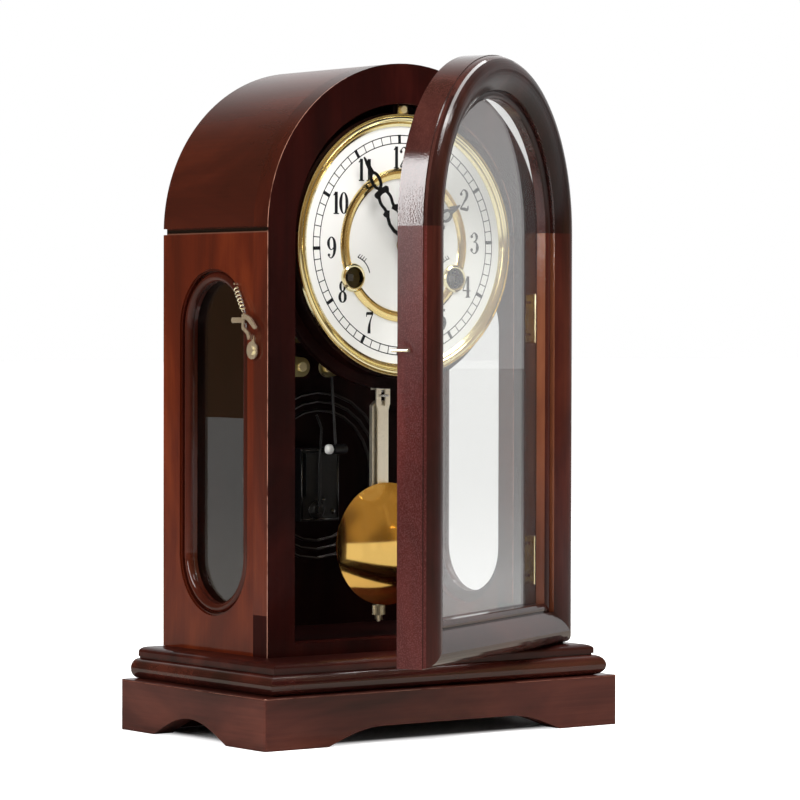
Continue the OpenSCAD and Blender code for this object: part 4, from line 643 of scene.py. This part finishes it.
class Prisms:
    """Collects flat closed outlines, x right and z up, and makes one mesh of thin prisms."""

    def __init__(self):
        self.points = []
        self.faces = []

    def add(self, outline):
        n = len(outline)
        base = len(self.points)
        for y in (DIAL_Y - PRINT_THICK, DIAL_Y + PRINT_THICK):
            self.points += [(DIAL_X + x * MM, y, DIAL_Z + z * MM) for x, z in outline]
        self.faces.append([base + i for i in range(n)])
        self.faces.append([base + n + i for i in reversed(range(n))])
        for i in range(n):
            j = (i + 1) % n
            self.faces.append([base + j, base + i, base + n + i, base + n + j])

    def ribbon(self, path):
        """A stroke through (x, z, width) points."""
        left, right = [], []
        for i, (x, z, w) in enumerate(path):
            ax, az, _ = path[max(0, i - 1)]
            bx, bz, _ = path[min(len(path) - 1, i + 1)]
            length = math.hypot(bx - ax, bz - az) or 1
            nx, nz = -(bz - az) / length, (bx - ax) / length
            left.append((x + nx * w / 2, z + nz * w / 2))
            right.append((x - nx * w / 2, z - nz * w / 2))
        for i in range(len(path) - 1):
            self.add([right[i], right[i + 1], left[i + 1], left[i]])

    def disc(self, x, z, r):
        self.add([circle_point(x, z, r, 360 * i / DOT_STEPS) for i in range(DOT_STEPS)])

    def ring(self, x, z, r, width, start=0.0, end=360.0, steps=180):
        self.ribbon([(*circle_point(x, z, r, start + (end - start) * i / steps), width)
                     for i in range(steps + 1)])

    def build(self, name, material, body):
        mesh = bpy.data.meshes.new(name)
        mesh.from_pydata(self.points, [], self.faces)
        mesh.update()
        obj = bpy.data.objects.new(name, mesh)
        bpy.context.scene.collection.objects.link(obj)
        obj.data.materials.append(material)
        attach(obj, body)


def circle_point(x, z, r, degrees):
    angle = math.radians(degrees)
    return x + r * math.cos(angle), z + r * math.sin(angle)


def smooth(path, per=5):
    """Catmull-Rom curve through (x, z, width) points."""
    out = []
    ends = [path[0]] + list(path) + [path[-1]]
    for p0, p1, p2, p3 in zip(ends, ends[1:], ends[2:], ends[3:]):
        for s in range(per):
            t = s / per
            out.append(tuple(
                0.5 * (2 * b + (c - a) * t + (2 * a - 5 * b + 4 * c - d) * t * t
                       + (3 * b - a - 3 * c + d) * t ** 3)
                for a, b, c, d in zip(p0, p1, p2, p3)))
    out.append(path[-1])
    return out


def oval(x, z, rx, rz, thin, thick):
    """Closed stroke, thick at its sides and thin at its top and bottom."""
    points = []
    for i in range(OVAL_STEPS + 1):
        a = 2 * math.pi * i / OVAL_STEPS
        width = thin + (thick - thin) * abs(math.cos(a)) ** OVAL_SWELL
        points.append((x + rx * math.cos(a), z + rz * math.sin(a), width))
    return points


def half_turn(strokes):
    """The strokes turned upside down, as a six becomes a nine."""
    out = []
    for kind, *rest in strokes:
        if kind == "dot":
            x, z, r = rest
            out.append((kind, -x, -z, r))
        else:
            out.append((kind, [(-x, -z, w) for x, z, w in rest[0]]))
    return out


# Strokes of the numerals on a unit height: ("line" or "curve", points) and ("dot", x, z, r)
SIX = [
    ("dot", 0.14, 0.33, 0.065),
    ("curve", [(0.16, 0.36, 0.05), (0.03, 0.47, 0.04), (-0.12, 0.30, 0.10), (-0.17, -0.05, 0.14),
               (-0.12, -0.36, 0.10), (0.02, -0.475, 0.04), (0.14, -0.34, 0.10), (0.165, -0.17, 0.13),
               (0.11, 0.02, 0.07), (0.0, 0.09, 0.035), (-0.11, 0.0, 0.05)]),
]
GLYPHS = {
    "0": [("curve", oval(0, 0, 0.165, 0.47, 0.035, 0.14))],
    "1": [("line", [(0.02, -0.48, 0.14), (0.02, 0.5, 0.14)]),
          ("line", [(-0.13, -0.48, 0.045), (0.17, -0.48, 0.045)]),
          ("line", [(-0.13, 0.33, 0.04), (0.0, 0.47, 0.07)])],
    "2": [("dot", -0.13, 0.27, 0.075),
          ("curve", [(-0.16, 0.30, 0.05), (-0.01, 0.475, 0.04), (0.13, 0.34, 0.12), (0.12, 0.12, 0.12),
                     (-0.02, -0.14, 0.07), (-0.17, -0.40, 0.045)]),
          ("curve", [(-0.18, -0.41, 0.06), (0.0, -0.41, 0.12), (0.16, -0.44, 0.10), (0.2, -0.26, 0.035)])],
    "3": [("dot", -0.13, 0.30, 0.07),
          ("curve", [(-0.15, 0.33, 0.05), (-0.01, 0.475, 0.04), (0.11, 0.32, 0.12), (0.07, 0.12, 0.07),
                     (-0.05, 0.05, 0.035)]),
          ("curve", [(-0.05, 0.05, 0.035), (0.09, 0.01, 0.06), (0.145, -0.20, 0.14), (0.09, -0.41, 0.08),
                     (-0.03, -0.475, 0.04), (-0.15, -0.36, 0.05)]),
          ("dot", -0.13, -0.31, 0.075)],
    "4": [("line", [(0.05, 0.48, 0.04), (-0.21, -0.17, 0.04)]),
          ("line", [(-0.22, -0.18, 0.045), (0.23, -0.18, 0.045)]),
          ("line", [(0.08, -0.48, 0.13), (0.08, 0.48, 0.13)]),
          ("line", [(-0.06, -0.48, 0.04), (0.21, -0.48, 0.04)])],
    "5": [("line", [(-0.13, 0.44, 0.10), (0.16, 0.44, 0.10)]),
          ("line", [(-0.13, 0.46, 0.04), (-0.14, 0.06, 0.04)]),
          ("curve", [(-0.14, 0.07, 0.04), (-0.01, 0.15, 0.04), (0.12, 0.04, 0.11), (0.15, -0.17, 0.14),
                     (0.09, -0.40, 0.08), (-0.04, -0.475, 0.04), (-0.15, -0.36, 0.05)]),
          ("dot", -0.13, -0.31, 0.075)],
    "6": SIX,
    "7": [("line", [(-0.18, 0.43, 0.11), (0.19, 0.43, 0.11)]),
          ("line", [(-0.18, 0.45, 0.04), (-0.18, 0.28, 0.04)]),
          ("curve", [(0.18, 0.43, 0.04), (0.04, 0.12, 0.06), (-0.03, -0.18, 0.12), (-0.04, -0.48, 0.14)])],
    "8": [("curve", oval(0, 0.245, 0.12, 0.225, 0.035, 0.11)),
          ("curve", oval(0, -0.24, 0.155, 0.235, 0.035, 0.13))],
    "9": half_turn(SIX),
}


def draw_numeral(prisms, text, x, z):
    start = -(len(text) - 1) * DIGIT_STEP / 2
    for i, digit in enumerate(text):
        shift = start + i * DIGIT_STEP
        broad = BROAD.get(digit, 1.0)

        def put(point):
            return (x + (point[0] * broad + shift) * NUMERAL_HEIGHT, z + point[1] * NUMERAL_HEIGHT,
                    point[2] * NUMERAL_HEIGHT * STROKE)

        for kind, *rest in GLYPHS[digit]:
            if kind == "dot":
                px, pz, _ = put(rest)
                prisms.disc(px, pz, rest[2] * NUMERAL_HEIGHT)
            elif kind == "line":
                prisms.ribbon([put(p) for p in rest[0]])
            else:
                prisms.ribbon([put(p) for p in smooth(rest[0])])


def clock_angle(share):
    """Degrees from the x axis of a place that lies a share of a turn clockwise from 12."""
    return 90 - 360 * share + math.degrees(PRINT_TURN)


def draw_track(prisms):
    for r in (TRACK_OUT, TRACK_IN):
        prisms.ring(0, 0, r, TRACK_LINE, steps=240)
    for i in range(60):
        on_hour = i % 5 == 0
        reach = HOUR_REACH if on_hour else 0
        width = HOUR_TICK if on_hour else TICK
        a = clock_angle(i / 60)
        prisms.ribbon([(*circle_point(0, 0, r, a), width) for r in (TRACK_IN - reach, TRACK_OUT + reach)])


def draw_winding_mark(prisms, side, start, end):
    prisms.ring(side * HOLE_X, HOLE_Z, MARK_RADIUS, MARK_LINE, start, end, steps=16)
    for i in range(SLANT_STROKES):
        x, z = circle_point(side * HOLE_X, HOLE_Z, MARK_RADIUS, end + side * SLANT_STEP * i)
        end_x, end_z = x - side * SLANT_REACH, z + SLANT_REACH
        prisms.ribbon([(x, z, SLANT_WIDTHS[0]), (end_x, end_z, SLANT_WIDTHS[1])])


def make_dial_print():
    prisms = Prisms()
    draw_track(prisms)
    for hour in range(1, 13):
        draw_numeral(prisms, str(hour), *circle_point(0, 0, NUMERAL_RADIUS, clock_angle(hour / 12)))
    draw_winding_mark(prisms, -1, *MARK_LEFT)
    draw_winding_mark(prisms, 1, *MARK_RIGHT)
    prisms.build("dial_print", PRINT_BLACK, "case")


# Floor, in metres. Camera rays see it white, with only the clock's shadow. A rise is its middle and soft edge
FLOOR_NEAR = -4.5
FLOOR_FAR = 20
FLOOR_GLOW = 0.72
FLOOR_WHITE = (0.86, 0.86, 0.86)
FLOOR_MIRRORED = (0.46, 0.42, 0.36)
FLOOR_SUNNY = (1.0, 1.0, 1.0)
SUNNY_RISE = (0.9, 0.5)
BENEATH_X = (-0.121, 0.121)
BENEATH_Y = (-0.066, 0.07)
BENEATH_SOFT = 0.008


def make_stage():
    mat, tree, shader = new_material("studio_floor")
    shader.inputs["Roughness"].default_value = 0.6
    shader.inputs["Specular IOR Level"].default_value = 0.2
    rays = node(tree, "ShaderNodeLightPath").outputs
    place = axes(tree, node(tree, "ShaderNodeTexCoord").outputs["Object"])

    # Polished pieces mirror a darker floor before the clock; glass shows it white
    sunny = step(tree, place["X"], *SUNNY_RISE)
    mirrored = mix_colour(tree, sunny, FLOOR_MIRRORED, FLOOR_SUNNY)
    colour = mix_colour(tree, rays["Is Glossy Ray"], FLOOR_WHITE, mirrored)
    colour = mix_colour(tree, rays["Is Transmission Ray"], colour, (0, 0, 0))
    tree.links.new(colour, shader.inputs["Base Color"])

    # No glow beneath the plinth, where the floor lies in its shadow
    beneath = math_node(tree, "MULTIPLY", between(tree, place["X"], *BENEATH_X, BENEATH_SOFT),
                        between(tree, place["Y"], *BENEATH_Y, BENEATH_SOFT))
    glow = math_node(tree, "MULTIPLY", math_node(tree, "SUBTRACT", 1.0, beneath), FLOOR_GLOW)
    seen = math_node(tree, "MULTIPLY", rays["Is Camera Ray"], glow)
    strength = math_node(tree, "MAXIMUM", seen, rays["Is Transmission Ray"])
    shader.inputs["Emission Color"].default_value = (1, 1, 1, 1)
    tree.links.new(strength, shader.inputs["Emission Strength"])

    mesh = bpy.data.meshes.new("studio_floor")
    corners = [(FLOOR_NEAR, FLOOR_NEAR, 0), (FLOOR_FAR, FLOOR_NEAR, 0),
               (FLOOR_FAR, FLOOR_FAR, 0), (FLOOR_NEAR, FLOOR_FAR, 0)]
    mesh.from_pydata(corners, [], [(0, 1, 2, 3)])
    mesh.materials.append(mat)
    floor = bpy.data.objects.new("studio_floor", mesh)
    bpy.context.scene.collection.objects.link(floor)


# Surroundings: white behind the clock, and for reflections a warm room on the camera's side
DAYLIGHT = (1.0, 0.99, 0.97)
DAYLIGHT_STRENGTH = 0.45
WHITE_TOWARDS = (0.8, 0.6, 0)
WHITE_RISE = (0.64, 0.29)
ROOM_BEFORE = (0.42, 0.29, 0.14)
ROOM_CORNER = (0.16, 0.10, 0.045)
ROOM_BEHIND = (0.15, 0.08, 0.04)
BEFORE_EDGE = (-0.15, 0.3)
CORNER_PATCHES = (0.46, 0.12)


def make_world():
    world = bpy.data.worlds.new("studio")
    bpy.context.scene.world = world
    world.use_nodes = True
    tree = world.node_tree
    back = tree.nodes["Background"]
    back.inputs["Color"].default_value = (*DAYLIGHT, 1)
    back.inputs["Strength"].default_value = DAYLIGHT_STRENGTH
    white = node(tree, "ShaderNodeBackground", Color=(1, 1, 1, 1), Strength=1.0)
    room = node(tree, "ShaderNodeBackground")

    direction = node(tree, "ShaderNodeTexCoord").outputs["Generated"]
    towards = node(tree, "ShaderNodeVectorMath", operation="DOT_PRODUCT")
    towards.inputs[1].default_value = WHITE_TOWARDS
    tree.links.new(direction, towards.inputs[0])
    rise = step(tree, towards.outputs["Value"], *WHITE_RISE)
    before = step(tree, axes(tree, direction)["Y"], *BEFORE_EDGE, falling=True)
    uneven = node(tree, "ShaderNodeTexNoise", Scale=1.7, Detail=1.0, Roughness=0.4)
    tree.links.new(direction, uneven.inputs["Vector"])
    patches = step(tree, uneven.outputs["Fac"], *CORNER_PATCHES)
    lit = mix_colour(tree, patches, ROOM_CORNER, ROOM_BEFORE)
    walls = mix_colour(tree, before, ROOM_BEHIND, lit)
    tree.links.new(mix_colour(tree, rise, walls, (1, 1, 1)), room.inputs["Color"])

    rays = node(tree, "ShaderNodeLightPath").outputs
    bent = math_node(tree, "MAXIMUM", rays["Is Glossy Ray"], rays["Is Transmission Ray"])
    around = mix_shader(tree, bent, back.outputs[0], room.outputs[0])
    surface = mix_shader(tree, rays["Is Camera Ray"], around, white.outputs[0])
    tree.links.new(surface, tree.nodes["World Output"].inputs["Surface"])


def area_lamp(name, place, target, along, size, power):
    """Rectangular lamp; along is the direction of its second side."""
    data = bpy.data.lights.new(name, "AREA")
    data.shape = "RECTANGLE"
    data.size, data.size_y = size
    data.energy = power
    lamp = bpy.data.objects.new(name, data)
    bpy.context.scene.collection.objects.link(lamp)
    back = (Vector(place) - Vector(target)).normalized()
    across = Vector(along).cross(back).normalized()
    up = back.cross(across)
    lamp.matrix_world = Matrix.Translation(place) @ Matrix((across, up, back)).transposed().to_4x4()


def make_lamps():
    middle = (0, 0, 0.25)
    area_lamp("top_lamp", (0.52, -0.52, 2.0), middle, (1.7, 1.9, 0), (0.26, 3.2), 40)
    area_lamp("left_lamp", (-2.3, -0.02, 1.34), (0, 0, 1.34), (0, 0, 1), (0.5, 2.03), 50)
    area_lamp("front_lamp", (0.4, -1.3, 2.1), middle, (1, 0, 0), (0.6, 0.9), 34)


make_camera()
make_block_relief()
make_stage()
make_world()
make_lamps()
dress_frame()
make_dial_print()

bpy.context.scene.view_settings.view_transform = "Standard"
